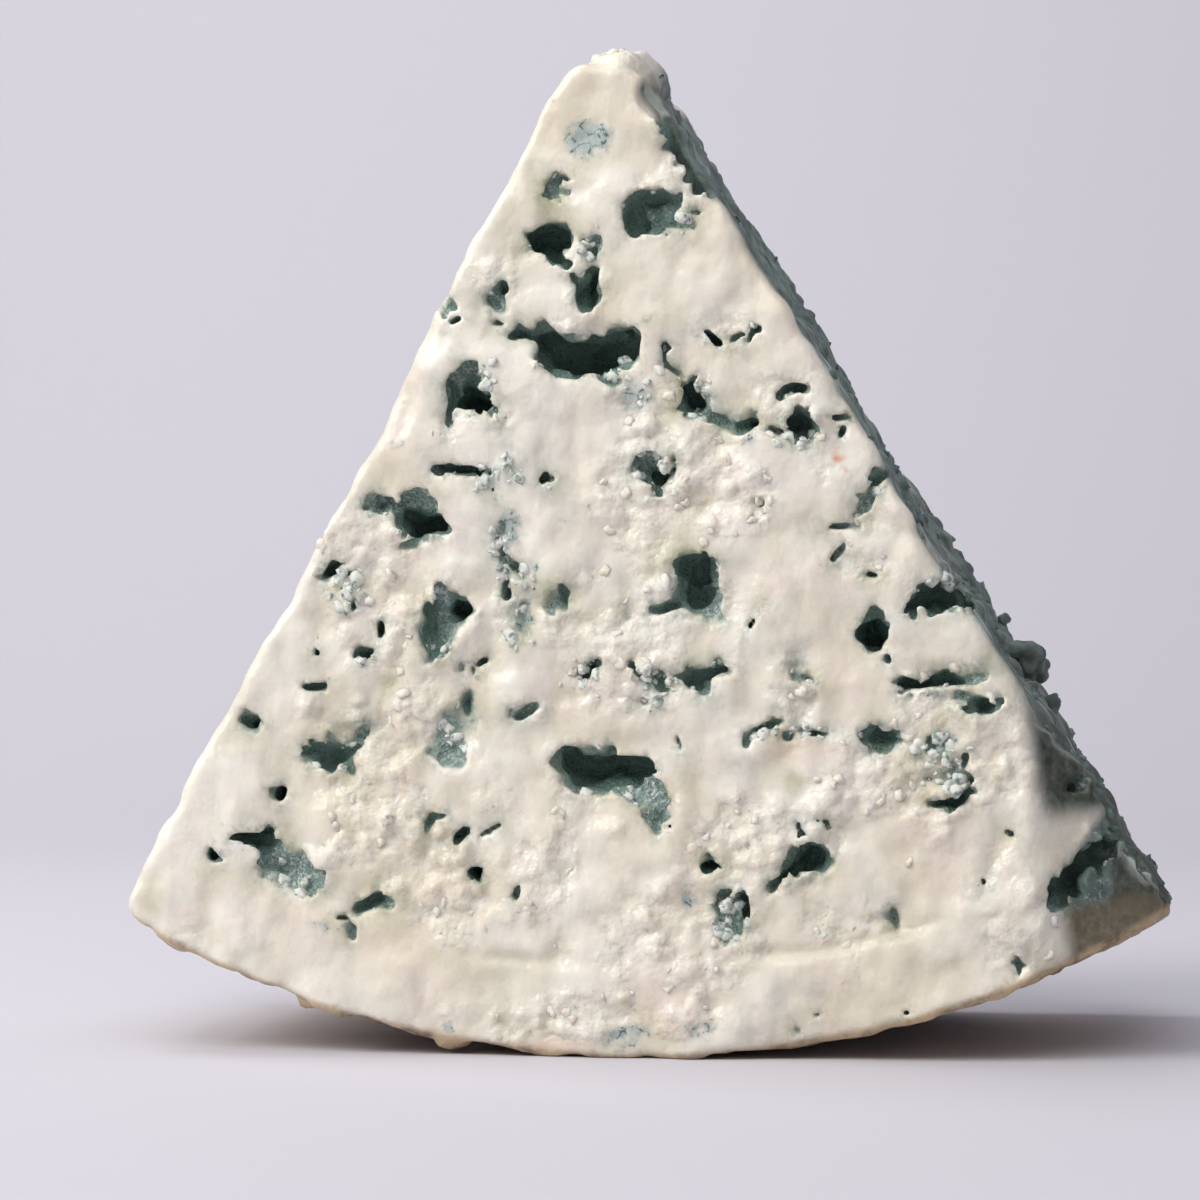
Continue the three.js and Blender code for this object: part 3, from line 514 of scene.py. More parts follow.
def patches(x, z, places, soft):
    """Adds up soft ellipses: 1 in the middle of each, times its last value."""
    total = np.zeros(np.broadcast(x, z).shape, dtype=np.float32)
    for place_x, place_z, half_wide, half_high, amount in places:
        away = np.hypot((x - place_x) / half_wide, (z - place_z) / half_high)
        total = np.maximum(total, amount * falling(away, 1.0 - soft, 1.0 + soft))
    return total


def curd(axes, spacing, seed, cover=1.0, bulge=0.7):
    """Domed grains side by side, from 0 in the creases between them to 1 at their tops."""
    rng = np.random.default_rng(seed)
    wide = axes[0][-1] - axes[0][0]
    high = axes[1][-1] - axes[1][0]
    count = int(cover * wide * high / spacing**2)
    heights = np.zeros((len(axes[0]), len(axes[1])), dtype=np.float32)
    for _ in range(count):
        middle = (axes[0][0] + wide * rng.random(), axes[1][0] + high * rng.random())
        radius = spacing * rng.uniform(0.45, 1.05)
        stretch = rng.uniform(0.7, 1.4)
        first = np.searchsorted(axes[0], middle[0] - radius * stretch)
        last = np.searchsorted(axes[0], middle[0] + radius * stretch)
        low = np.searchsorted(axes[1], middle[1] - radius)
        high_end = np.searchsorted(axes[1], middle[1] + radius)
        across = (axes[0][first:last, None] - middle[0]) / (radius * stretch)
        up = (axes[1][None, low:high_end] - middle[1]) / radius
        dome = np.maximum(1.0 - across**2 - up**2, 0.0) ** bulge * rng.uniform(0.5, 1.0)
        window = heights[first:last, low:high_end]
        np.maximum(window, dome, out=window)
    return heights


def near_eyes(x, z):
    """1 in an eye's mouth, fading out over the paste round it."""
    total = np.zeros(np.broadcast(x, z).shape, dtype=np.float32)
    for places in EYES.values():
        for eye_x, eye_z, wide, high, deep, turn, _ in places:
            turn = math.radians(turn)
            along = (x - eye_x) * math.cos(turn) + (z - eye_z) * math.sin(turn)
            up = (z - eye_z) * math.cos(turn) - (x - eye_x) * math.sin(turn)
            size = math.sqrt(wide * high) / 2
            away = (np.hypot(along / (wide / 2), up / (high / 2)) - 1.0) * size
            reach = min(1.0, deep / 3.0)
            total = np.maximum(total, reach * np.exp(-np.maximum(away, 0.0) / 1.1))
    return total


def blurred(field, passes):
    """The field with its finest steps softened."""
    for _ in range(passes):
        for axis in range(field.ndim):
            before = np.roll(field, 1, axis)
            after = np.roll(field, -1, axis)
            field = 0.5 * field + 0.25 * (before + after)
    return field


def front_relief():
    """How far the broad face stands proud of its flat cut, over x and z, where it is rough, and how much
    painted shade its low places get.
    """
    axes = [AXES[0], AXES[2]]
    x = AXES[0][:, None]
    z = AXES[2][None, :]
    from_rind = WHEEL_RADIUS - from_wheel_axis(x, z)
    on_band = falling(from_rind, BAND_WIDTH - 1.0, BAND_WIDTH + 1.0)
    level = 0.6 * noise(axes, 7.0, 301) + 0.4 * noise(axes, 2.8, 302) + 0.35 * on_band
    level += 0.4 - 0.8 * patches(x, z, ROUGH_PATCHES, 0.6) - 0.5 * near_eyes(x, z)
    level -= 0.15 * falling(z, 20.0, 50.0)
    rough = falling(level, -0.25, 0.2)
    swells = curd(axes, 6.5, 306, bulge=1.0)
    folds = curd(axes, 3.2, 304)
    lumps = curd(axes, 1.9, 312, 0.45, bulge=0.6)
    grains = curd(axes, 1.2, 305, 0.4, bulge=0.5)
    relief = 0.45 * noise(axes, 15.0, 308) + 0.65 * (swells - 0.6) + 0.4 * (folds - 0.6)
    for seed, wavelength in ((321, 9.0), (322, 6.5), (323, 5.0)):
        relief += 0.2 * smoothstep(noise(axes, (wavelength, 1.3 * wavelength), seed), -0.05, 0.03)
    chunks = curd(axes, 2.6, 313, 0.3, bulge=0.5)
    relief = blurred(relief, 3) + rough * (0.55 * chunks + 0.5 * lumps + 0.35 * grains - 0.45)
    relief += 0.3 * blurred(chunks, 1) * (1.0 - rough) + 0.13 * noise(axes, (1.7, 3.2), 331)
    wander = 0.5 * noise(axes, 9.0, 310)
    crease = np.exp(-(((from_rind - BAND_WIDTH - wander) / 0.65) ** 2))
    strong = smoothstep(noise(axes, 8.0, 311), -0.9, 0.3) * smoothstep(x, -22.0, -12.0)
    relief -= 0.55 * crease * strong
    valley = falling(swells + 0.6 * folds, 0.25, 0.75)
    # Painted shade for the low places: the valleys between swells, the hollows of rough curd and the pressed
    # crease.
    shade_in_low_places = 0.8 * valley + rough * (0.3 - 0.5 * lumps) + 1.1 * crease * strong
    return relief, rough, np.clip(shade_in_low_places, 0.0, 1.0)


def plain_wedge():
    """The wedge with its relief but without eyes, as a field of distances that is negative inside."""
    front_heights, rough, shade_in_low_places = front_relief()
    back_share = np.clip(Y / THICKNESS + 0.5, 0.0, 1.0)
    flat_x = AXES[0][:, None]
    flat_z = AXES[2][None, :]
    recess = front_recess(flat_x, flat_z)[:, None, :]
    on_bevel = smoothstep(recess, 0.3, 2.5)

    coarse = noise(AXES, 15.0, 201)
    crags = noise(AXES, 5.5, 202)
    fine = noise(AXES, 2.2, 203)
    curds = np.abs(noise(AXES, 3.4, 211)) - 0.3
    crumb = np.abs(noise(AXES, 1.5, 212)) - 0.3
    near_front = near_face(Y, RELIEF_FADE)
    roughness = lerp(np.clip(0.5 + 0.7 * noise(AXES, 9.0, 213), 0.1, 1.0), rough[:, None, :], near_front)
    curds = roughness * lerp(0.9, 0.35, near_front) * (curds + crumb)
    fringe = near_front * (0.5 * noise(AXES, 3.4, 214) + 0.3 * noise(AXES, 1.8, 215))

    cut_relief = 0.55 * coarse + 0.55 * crags + 0.28 * fine
    rind_relief = 0.35 * coarse + 0.25 * crags + 0.10 * fine
    bulge = lerp(LEFT_BULGE_LOW, LEFT_BULGE_HIGH, smoothstep(flat_z, LEFT_BULGE_FROM, LEFT_BULGE_TO))
    left = (beyond_left_cut(flat_x, flat_z) - bulge * math.cos(LEFT_CUT))[:, None, :] - 0.7 * cut_relief
    right = beyond_right_cut(flat_x, flat_z)[:, None, :] + RIGHT_TAPER * back_share - cut_relief
    swell = 1.0 + flare(flat_x, flat_z)[:, None, :] * back_share
    rind = from_wheel_axis(flat_x, flat_z)[:, None, :] - WHEEL_RADIUS * swell - rind_relief - fringe
    top = (Z - POINT_TOP) - 0.4 * cut_relief
    section = rounded_meet([left, right, rind, top], CORNER_ROUND)

    front = recess * (1.0 - back_share) + FRONT - Y
    front = front - front_heights[:, None, :] - on_bevel * (0.7 * crags + 0.35 * fine)
    rear = Y + FRONT - 0.5 * coarse - 0.5 * crags - 0.2 * fine
    wedge = rounded_meet([section, front, rear], EDGE_ROUND) - curds

    worn = WHEEL_RADIUS - math.sqrt(WHEEL_RADIUS**2 - FOOT_HALF_WIDTH**2)
    return wedge, worn, rough, shade_in_low_places


# --- Hollows and lumps -------------------------------------------------------------------------

WARPS = [
    0.6 * noise(AXES, 2.8, seed) + 0.5 * noise(AXES, 1.15, seed + 1) for seed in (401, 403, 405)
]


def window_round(middle, reach):
    """The part of the grid within reach of a point, as three slices."""
    parts = []
    for axis, coordinate in zip(AXES, middle):
        first = int(np.searchsorted(axis, coordinate - reach))
        last = int(np.searchsorted(axis, coordinate + reach))
        parts.append(slice(first, last))
    return tuple(parts)


def ball(window, middle, directions, radii, warp):
    """Distance to an uneven ellipsoid whose radii lie along the given directions."""
    offsets = [
        (full - centre)[tuple(part if size > 1 else slice(None) for part, size in zip(window, full.shape))]
        for full, centre in zip((X, Y, Z), middle)
    ]
    offsets = [offset + warp * each[window] for offset, each in zip(offsets, WARPS)]
    return ellipsoid(offsets, directions, radii)


def ellipsoid(offsets, directions, radii):
    scaled = np.float32(0.0)
    steep = np.float32(0.0)
    for direction, radius in zip(directions, radii):
        along = sum(part * float(share) for part, share in zip(offsets, direction))
        scaled = scaled + (along / radius) ** 2
        steep = steep + (along / radius**2) ** 2
    scaled = np.sqrt(scaled)
    return scaled * (scaled - 1.0) / np.maximum(np.sqrt(steep), 1e-6)


# How softly the paste rolls over into an eye: a torn edge here and a melted one there.
SOFTNESS = lerp(0.12, 1.1, smoothstep(noise(AXES, 4.5, 407), -0.1, 0.6))

SQUARE = ((1, 0, 0), (0, 1, 0), (0, 0, 1))

# How far past a hollow or grain, and past a lump, the field is worked on.
SPARE = 1.5
LUMP_SPARE = 2.0

# How uneven each kind of lump is, and how wide the fillet round it is.
LUMP_FINISH = (0.8, 0.3)
SCOOP_FINISH = (0.6, 0.6)
GRAIN_FINISH = (0.4, 0.15)

FRAY_SPACING = 0.9
CRUMB_GRAINS = 14


class Hollow:
    """One hollow: its middle, the directions of its radii, the radii, and what lines it."""

    def __init__(self, at, across, inward, wide, high, deep, turn, mould):
        sunk = 0.3
        swell = 1 / math.sqrt(1 - sunk * sunk)
        half_deep = deep / (1 + sunk)
        up = across.cross(inward)
        self.at = at
        self.middle = at + inward * (sunk * half_deep)
        self.directions = (
            across * math.cos(turn) + up * math.sin(turn),
            inward,
            up * math.cos(turn) - across * math.sin(turn),
        )
        self.radii = (wide / 2 * swell, half_deep, high / 2 * swell)
        self.mouth = (wide / 2, high / 2)
        self.mould = mould

    def cut_from(self, wedge):
        window = window_round(self.middle, max(self.radii) + SPARE)
        warp = min(1.0, min(self.radii) / 0.9)
        hollow = ball(window, self.middle, self.directions, self.radii, warp)
        ease = np.minimum(SOFTNESS[window], 0.8 * min(self.mouth))
        wedge[window] = smooth_cut(wedge[window], hollow, ease)


def front_hollows():
    made = []
    for places in EYES.values():
        for x, z, wide, high, deep, turn, mould in places:
            at = Vector((x, float(front_recess(x, z)) + FRONT, z))
            turn = math.radians(turn)
            made.append(Hollow(at, Vector((1, 0, 0)), Vector((0, 1, 0)), wide, high, deep, turn, mould))
    return made


def frayed(hollows, seed):
    """Small hollows that bite into the rims of the others, and leave them ragged."""
    rng = np.random.default_rng(seed)
    bites = []
    for hollow in hollows:
        across, inward, up = hollow.directions
        half_wide, half_high = hollow.mouth
        largest = min(0.9, 0.4 * (half_wide + half_high))
        for _ in range(round(2.2 * (half_wide + half_high) / FRAY_SPACING)):
            turn = rng.uniform(0, 2 * math.pi)
            at = hollow.at + across * (half_wide * math.cos(turn)) + up * (half_high * math.sin(turn))
            size = largest * rng.uniform(0.4, 1.0)
            wide = size * rng.uniform(1.0, 1.8)
            deep = size * rng.uniform(0.7, 1.6)
            bites.append(Hollow(at, across, inward, wide, size, deep, turn, hollow.mould))
    return bites


def shape_with_ball(wedge, middle, directions, radii, reach, finish, change=smooth_join):
    """Joins an uneven ellipsoid to the wedge, or cuts it out, within reach of its middle."""
    warp, ease = finish
    window = window_round(middle, reach)
    lump = ball(window, middle, directions, radii, warp)
    wedge[window] = change(wedge[window], lump, ease)


def add_flap(wedge, x, z, wide, high, turn, proud):
    half_deep = 0.45 * min(wide, high) + 0.5
    y = float(front_recess(x, z)) + FRONT + half_deep - proud
    turn = math.radians(turn)
    directions = ((math.cos(turn), 0, math.sin(turn)), (0, 1, 0), (-math.sin(turn), 0, math.cos(turn)))
    radii = (wide / 2, half_deep, high / 2)
    shape_with_ball(wedge, (x, y, z), directions, radii, max(wide, high) / 2 + LUMP_SPARE, LUMP_FINISH)


class Draws:
    """Repeatable random numbers between 0 and 1."""

    def __init__(self, seed):
        self.state = seed
        self.draw()

    def draw(self):
        mask = 0xFFFFFFFF
        self.state += 0x6D2B79F5
        value = self.state & mask
        value = ((value ^ (value >> 15)) * (value | 1)) & mask
        value ^= (value + (((value ^ (value >> 7)) * (value | 61)) & mask)) & mask
        return (value ^ (value >> 14)) / 4294967296


def reach_of_rind(lean):
    """How far the rind is from where the cuts meet, down a line that leans this far."""
    dx = CUTS_MEET[0] - WHEEL_AXIS[0]
    dz = CUTS_MEET[1] - WHEEL_AXIS[1]
    along = dx * math.sin(lean) - dz * math.cos(lean)
    return math.sqrt(along**2 + WHEEL_RADIUS**2 - dx**2 - dz**2) - along


def down_a_cut(lean, reach, y):
    """The place this far from where the cuts meet, down a line that leans this far."""
    return Vector((CUTS_MEET[0] + reach * math.sin(lean), y, CUTS_MEET[1] - reach * math.cos(lean)))


def back_spot(u, v):
    share = math.sqrt(lerp(0.03, 1, u))
    lean = lerp(-LEFT_CUT, RIGHT_CUT, v)
    at = down_a_cut(lean, reach_of_rind(lean) * share, THICKNESS / 2)
    out = WHEEL_RADIUS * share
    to_cut = out * math.sin((LEFT_CUT + RIGHT_CUT) * min(v, 1 - v))
    return at, min(to_cut, WHEEL_RADIUS - out)


def cut_spot(lean):
    def spot(u, v):
        reach = WHEEL_RADIUS * lerp(0.1, 1, u)
        y = THICKNESS * (v - 0.5)
        return down_a_cut(lean, reach, y), min(WHEEL_RADIUS - reach, THICKNESS / 2 - abs(y))

    return spot


def drawn_hollows(spot, across, inward, count, seed, sizes):
    """Eyes drawn at random over a face, none of them on another or over an edge."""
    narrowest, widest, margin = sizes
    draws = Draws(seed)
    places = []
    while len(places) < count:
        u = draws.draw()
        v = draws.draw()
        at, to_edge = spot(u, v)
        wide = lerp(narrowest, widest, draws.draw() ** 2)
        high = wide * lerp(*EYE_SLIMNESS, draws.draw())
        deep = lerp(*EYE_DEPTHS, draws.draw())
        turn = math.pi * draws.draw()
        clear = all((other[0] - at).length > (other[1] + wide) / 2 + EYE_GAP for other in places)
        if clear and to_edge > margin + wide / 2:
            places.append((at, wide, high, deep, turn))
    made = []
    for number, (at, wide, high, deep, turn) in enumerate(places):
        mould = (BARE, DUSTED, FURRED)[number % 3]
        made.append(Hollow(at, across, inward, wide, high, min(deep, wide), turn, mould))
    return made


def lobed(hollows, seed):
    """Side lobes for the drawn eyes, so that none of them stays round."""
    rng = np.random.default_rng(seed)
    lobes = []
    for hollow in hollows:
        across, inward, up = hollow.directions
        half_wide, half_high = hollow.mouth
        for side in (-1, 1):
            at = hollow.at + across * (side * 0.8 * half_wide) + up * (rng.uniform(-1, 1) * half_high)
            wide = 2 * half_wide * rng.uniform(0.4, 0.8)
            high = 2 * half_high * rng.uniform(0.4, 0.8)
            deep = hollow.radii[1] * rng.uniform(0.5, 0.9)
            turn = rng.uniform(0, math.pi)
            lobes.append(Hollow(at, across, inward, wide, high, deep, turn, hollow.mould))
    return lobes


def hidden_hollows():
    back = (back_spot, Vector((-1, 0, 0)), Vector((0, -1, 0)))
    made = drawn_hollows(*back, *BACK_EYES, EYE_SIZES)
    made += drawn_hollows(*back, *BACK_PITS, PIT_SIZES)
    for lean, eyes, pits in ((-LEFT_CUT, LEFT_EYES, LEFT_PITS), (RIGHT_CUT, RIGHT_EYES, RIGHT_PITS)):
        side = math.copysign(1, lean)
        inward = Vector((-math.cos(lean), 0, -math.sin(lean))) * side
        face = (cut_spot(lean), Vector((0, side, 0)), inward)
        made += drawn_hollows(*face, *eyes, EYE_SIZES)
        made += drawn_hollows(*face, *pits, PIT_SIZES)
    return made + lobed(made, LOBES_SEED)


def add_lump(wedge, x, y, z, *halves, finish=LUMP_FINISH, change=smooth_join):
    shape_with_ball(wedge, (x, y, z), SQUARE, halves, max(halves) + LUMP_SPARE, finish, change)


def add_crumb(wedge, reach, y, radius):
    """A crumb on the right cut, made of grains that cling together."""
    rng = np.random.default_rng(int(100 * reach))
    proud = 0.4 * radius
    x = CUTS_MEET[0] + reach * math.sin(RIGHT_CUT) + proud * math.cos(RIGHT_CUT)
    z = CUTS_MEET[1] - reach * math.cos(RIGHT_CUT) + proud * math.sin(RIGHT_CUT)
    for _ in range(CRUMB_GRAINS):
        away = Vector(rng.normal(size=3)).normalized() * radius * rng.uniform(0.3, 0.75)
        place = Vector((x, y, z)) + away
        size = radius * rng.uniform(0.28, 0.5)
        shape_with_ball(wedge, place, SQUARE, (size, size, size), size + SPARE, GRAIN_FINISH)


# --- From the field to a mesh ------------------------------------------------------------------


def largest_island(points, quads):
    """The points and quads of the largest connected part."""
    label = np.arange(len(points))
    edges = np.concatenate([quads[:, [0, 1]], quads[:, [1, 2]], quads[:, [2, 3]], quads[:, [3, 0]]])
    while True:
        lowest = np.minimum(label[edges[:, 0]], label[edges[:, 1]])
        fresh = label.copy()
        np.minimum.at(fresh, edges[:, 0], lowest)
        np.minimum.at(fresh, edges[:, 1], lowest)
        fresh = fresh[fresh]
        if np.array_equal(fresh, label):
            break
        label = fresh
    names, counts = np.unique(label, return_counts=True)
    keep = label == names[np.argmax(counts)]
    renumber = np.cumsum(keep) - 1
    return points[keep], renumber[quads[keep[quads[:, 0]]]]


def surface_of(field):
    """The zero surface of the field, with its points in grid steps."""
    far = 3 * VOXEL
    grid = openvdb.FloatGrid(far)
    grid.copyFromArray(np.clip(field, -far, far))
    points, quads = grid.convertToQuads(0.0)
    return largest_island(points.astype(np.float32), quads.astype(np.int64))


def fill_mesh(mesh, points, faces):
    mesh.from_pydata(points.tolist(), [], faces.tolist())
    mesh.update()


def add_object(name, data):
    thing = bpy.data.objects.new(name, data)
    bpy.context.scene.collection.objects.link(thing)
    return thing


def applied(holder):
    """The holder's mesh with its modifiers applied. The holder itself goes."""
    evaluated = holder.evaluated_get(bpy.context.evaluated_depsgraph_get())
    result = bpy.data.meshes.new_from_object(evaluated)
    bpy.data.objects.remove(holder)
    return result


def thinned(mesh, keep_fine, triangles):
    """A copy of the mesh with at most this many triangles, and the most of them where it matters."""
    holder = add_object("thinning", mesh)
    group = holder.vertex_groups.new(name="coarse")
    levels = 4
    for level in range(levels + 1):
        chosen = np.flatnonzero(np.round(levels * (1.0 - keep_fine)) == level)
        group.add(chosen.tolist(), lerp(0.1, 1.0, level / levels), "REPLACE")
    thin = holder.modifiers.new("thin", "DECIMATE")
    thin.ratio = min(1.0, triangles / (2 * len(mesh.polygons)))
    thin.vertex_group = group.name
    thin.vertex_group_factor = FAVOUR
    return applied(holder)


TRIANGLES = 190000
FAVOUR = 0.18
FRAY_SEED = 511

wedge, worn, rough_map, low_shade_map = plain_wedge()
add_lump(wedge, *POINT_SCOOP, finish=SCOOP_FINISH, change=smooth_cut)
for lump in POINT_LUMPS + RIM_LUMPS:
    add_lump(wedge, *lump)
for crumb in CRUMBS:
    add_crumb(wedge, *crumb)
wedge = np.maximum(wedge, worn - Z)
whole = wedge.copy()
hollows = front_hollows() + hidden_hollows()
hollows += frayed(hollows, FRAY_SEED)
for hollow in hollows:
    hollow.cut_from(wedge)
for flap in FLAPS:
    add_flap(wedge, *flap)

points, quads = surface_of(wedge)

rough_mesh = bpy.data.meshes.new("wedge_field")
fill_mesh(rough_mesh, points, quads)
near_front = near_face(points[:, 1] * VOXEL + GRID_LOW[1], MESH_FADE)
mesh = thinned(rough_mesh, near_front, TRIANGLES)
bpy.data.meshes.remove(rough_mesh)
mesh.name = "wedge_paste"

steps = np.empty(3 * len(mesh.vertices), dtype=np.float32)
mesh.vertices.foreach_get("co", steps)
steps = steps.reshape(-1, 3)
places = steps * VOXEL + np.array(GRID_LOW, dtype=np.float32)


# --- What lies where on the skin ---------------------------------------------------------------

# Each mark is a value at every vertex, which a material or the scattering reads. The depth is in
# millimetres and the others are shares, which rise or fall between two distances in millimetres.

# How far from an eye the paste still belongs to it.
EYE_REACH = 3.0


def put(name, values):
    attribute = mesh.attributes.new(name, "FLOAT", "POINT")
    attribute.data.foreach_set("value", np.asarray(values, dtype=np.float32))


def eye_marks():
    """For each vertex, how much mould lines the eye that it is in."""
    nearest = np.full(len(places), EYE_REACH, dtype=np.float32)
    mould = np.zeros(len(places), dtype=np.float32)
    for hollow in hollows:
        reach = max(hollow.radii) + EYE_REACH
        close = np.all(np.abs(places - np.array(hollow.middle)) < reach, axis=1)
        index = np.flatnonzero(close)
        offsets = list((places[index] - np.array(hollow.middle, dtype=np.float32)).T)
        away = ellipsoid(offsets, hollow.directions, hollow.radii)
        closer = index[away < nearest[index]]
        mould[closer] = hollow.mould
        nearest[index] = np.minimum(nearest[index], away)
    return mould, nearest


x, y, z = places.T
on_front = near_face(y, MARK_FADE)
depth = -pick(whole, steps)
mould, eye_distance = eye_marks()
put("depth", depth)
put("mould", mould)
put("rim", np.exp(-np.maximum(eye_distance, 0.0) / 0.8))
put("halo", np.exp(-np.maximum(eye_distance, 0.0) / 1.3) * (0.35 + 0.65 * mould) * (depth < 0.5))
FLUSH_MARKS = (("flush", FLUSH_MOULD, 0.6), ("olive", OLIVE_STAINS, 0.7), ("ochre", OCHRE_STAINS, 0.7))
for name, rows, soft in FLUSH_MARKS:
    halved = [(middle_x, middle_z, wide / 2, high / 2, much) for middle_x, middle_z, wide, high, much in rows]
    put(name, patches(x, z, halved, soft) * on_front)
grid_x = np.clip(np.round(steps[:, 0]).astype(int), 0, len(AXES[0]) - 1)
grid_z = np.clip(np.round(steps[:, 2]).astype(int), 0, len(AXES[2]) - 1)
rough = rough_map[grid_x, grid_z] * on_front
put("rough", rough)
clustered = smoothstep(pick(WARPS[1], steps), -0.1, 0.5)
shallow = falling(depth, 0.15, 0.4)
crumbly = clustered * shallow * lerp(0.1, 0.015 + 0.985 * rough, on_front)
near_rim = smoothstep(depth, 0.1, 0.4) * falling(depth, 1.6, 2.4)
curds = near_rim * (mould > 0.1) * smoothstep(pick(WARPS[0], steps), 0.1, 0.4)
crowded = patches(x, z, CURD_PATCHES, 0.4) * falling(depth, 2.4, 3.4)
put("curdy", np.maximum(0.5 * curds, crowded * on_front))
# Painted shade in the valleys and creases of the broad face.
put("crease", low_shade_map[grid_x, grid_z] * on_front)
from_rind = WHEEL_RADIUS * (1.0 + flare(x, z) * np.clip(y / THICKNESS + 0.5, 0, 1)) - from_wheel_axis(x, z)
rind = falling(from_rind, 0.3, 1.0)
put("rind", rind)
recess = front_recess(x, z)
from_front = y - FRONT - recess / (1.0 + recess / THICKNESS)
from_right = -beyond_right_cut(x, z)
on_cap = smoothstep(z, 94.0, 95.0) * falling(x, -0.3, 1.2)
at_right = falling(from_right, 0.4, 1.4) * (1.0 - on_cap)
right_skin = at_right * smoothstep(from_front, 0.3, 1.1)
put("right_cut", right_skin)
put("hidden", (1.0 - on_front) * (1.0 - rind) * (1.0 - at_right))
sparse = 1.0 - 0.85 * smoothstep(z, 55.0, 75.0)
put("grainy", right_skin * smoothstep(pick(WARPS[2], steps), 0.0, 0.5) * sparse)
put("streaked", right_skin * falling(from_front, 6.0, 16.0))
torn = smoothstep(recess, 0.5, 2.2) * (1.0 - right_skin) * falling(from_front, 3.0, 8.0)
put("crumbly", crumbly * (1.0 - rind) * (1.0 - right_skin) * (1.0 - torn))
# Painted shade: in the torn strip by the point, over the upper part of the torn slope at the lower right, at
# its corner and down its crevice.
strip = patches(x, z, TORN_STRIP, 0.3) * smoothstep(depth, 0.2, 0.6)
shade_on_bevel = torn * smoothstep(z, 22.5, 25.5) * falling(z, 38.0, 46.0)
shade_at_corner = torn * smoothstep(x, 43.4, 44.6) * smoothstep(z, 13.6, 15.6) * (z < 24.0)
shade_in_crevice = torn * smoothstep(depth, 0.6, 2.0) * smoothstep(x, 38.0, 39.0)
put("bevel", np.maximum.reduce([shade_on_bevel, shade_at_corner, shade_in_crevice, strip * on_front]))
# Brown painted shade low on the torn slope and in the scoop by the point.
scooped = patches(x, z, SCOOPED, 0.5) * smoothstep(from_front, 0.4, 1.4)
put("umber", np.maximum(torn * falling(z, 15.0, 17.0), scooped * falling(y, -22.0, -19.0)))
speckled = smoothstep(x, 39.6, 40.8) * smoothstep(z - 0.25 * (x - 42.0), 14.6, 15.8)
speckled *= falling(z - 1.5 * (x - 42.0), 20.5, 22.5)
put("speckled", torn * speckled * falling(x, 43.8, 45.0))
# Painted shade on the right cut, more towards its foot.
put("sunless", falling(z, 15.0, 60.0))
# Darker painted shade at the foot of the right cut.
put("peat", right_skin * falling(z, 15.0, 19.0))

# --- Into the shared frame ---------------------------------------------------------------------

low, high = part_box("cheese_wedge")
centre = (places.min(axis=0) + places.max(axis=0)) / 2
shift = np.array(
    [
        (low.x + high.x) / 2 - centre[0] * MM,
        (low.y + high.y) / 2 - centre[1] * MM,
        low.z - places[:, 2].min() * MM,
    ]
)
mesh.vertices.foreach_set("co", (places * MM + shift).astype(np.float32).ravel())
mesh.shade_smooth()
mesh.update()
SHIFT = Vector(shift)

# --- Shader arithmetic -------------------------------------------------------------------------


def arithmetic(operation, swapped=False):
    def method(self, other):
        pair = (other, self) if swapped else (self, other)
        return self.combined(operation, *pair)

    return method


class Value:
    """A number socket that takes part in Python arithmetic."""

    def __init__(self, recipe, socket):
        self.recipe = recipe
        self.socket = socket

    def combined(self, operation, *others, clamp=False):
        settings = {"operation": operation, "use_clamp": clamp}
        node = self.recipe.node("ShaderNodeMath", settings, *others)
        return Value(self.recipe, node.outputs[0])

    __add__ = __radd__ = arithmetic("ADD")
    __sub__ = arithmetic("SUBTRACT")
    __rsub__ = arithmetic("SUBTRACT", swapped=True)
    __mul__ = __rmul__ = arithmetic("MULTIPLY")
    max = arithmetic("MAXIMUM")

    def clamped(self):
        return self.combined("ADD", self, 0.0, clamp=True)

    def rising(self, low, high):
        """0 below low, 1 above high, and an S-curve between them."""
        settings = {"interpolation_type": "SMOOTHSTEP"}
        node = self.recipe.node("ShaderNodeMapRange", settings, self, low, high)
        return Value(self.recipe, node.outputs[0])

    def falling(self, low, high):
        return 1.0 - self.rising(low, high)


class Nodes:
    """A tree of nodes, and how its nodes are made."""

    def node(self, kind, settings=None, *inputs, **named):
        """Any node: its type, its settings, then its input values or links, in order or by name."""
        node = self.tree.nodes.new(kind)
        for name, value in (settings or {}).items():
            setattr(node, name, value)
        for number, value in enumerate(inputs):
            self.feed(node.inputs[number], value)
        for name, value in named.items():
            wanted = name.replace("_", " ")
            self.feed(next(each for each in node.inputs if each.name == wanted and each.enabled), value)
        return node

    def feed(self, socket, value):
        if isinstance(value, Value):
            value = value.socket
        if isinstance(value, bpy.types.NodeSocket):
            self.tree.links.new(value, socket)
        elif value is not None:
            socket.default_value = value


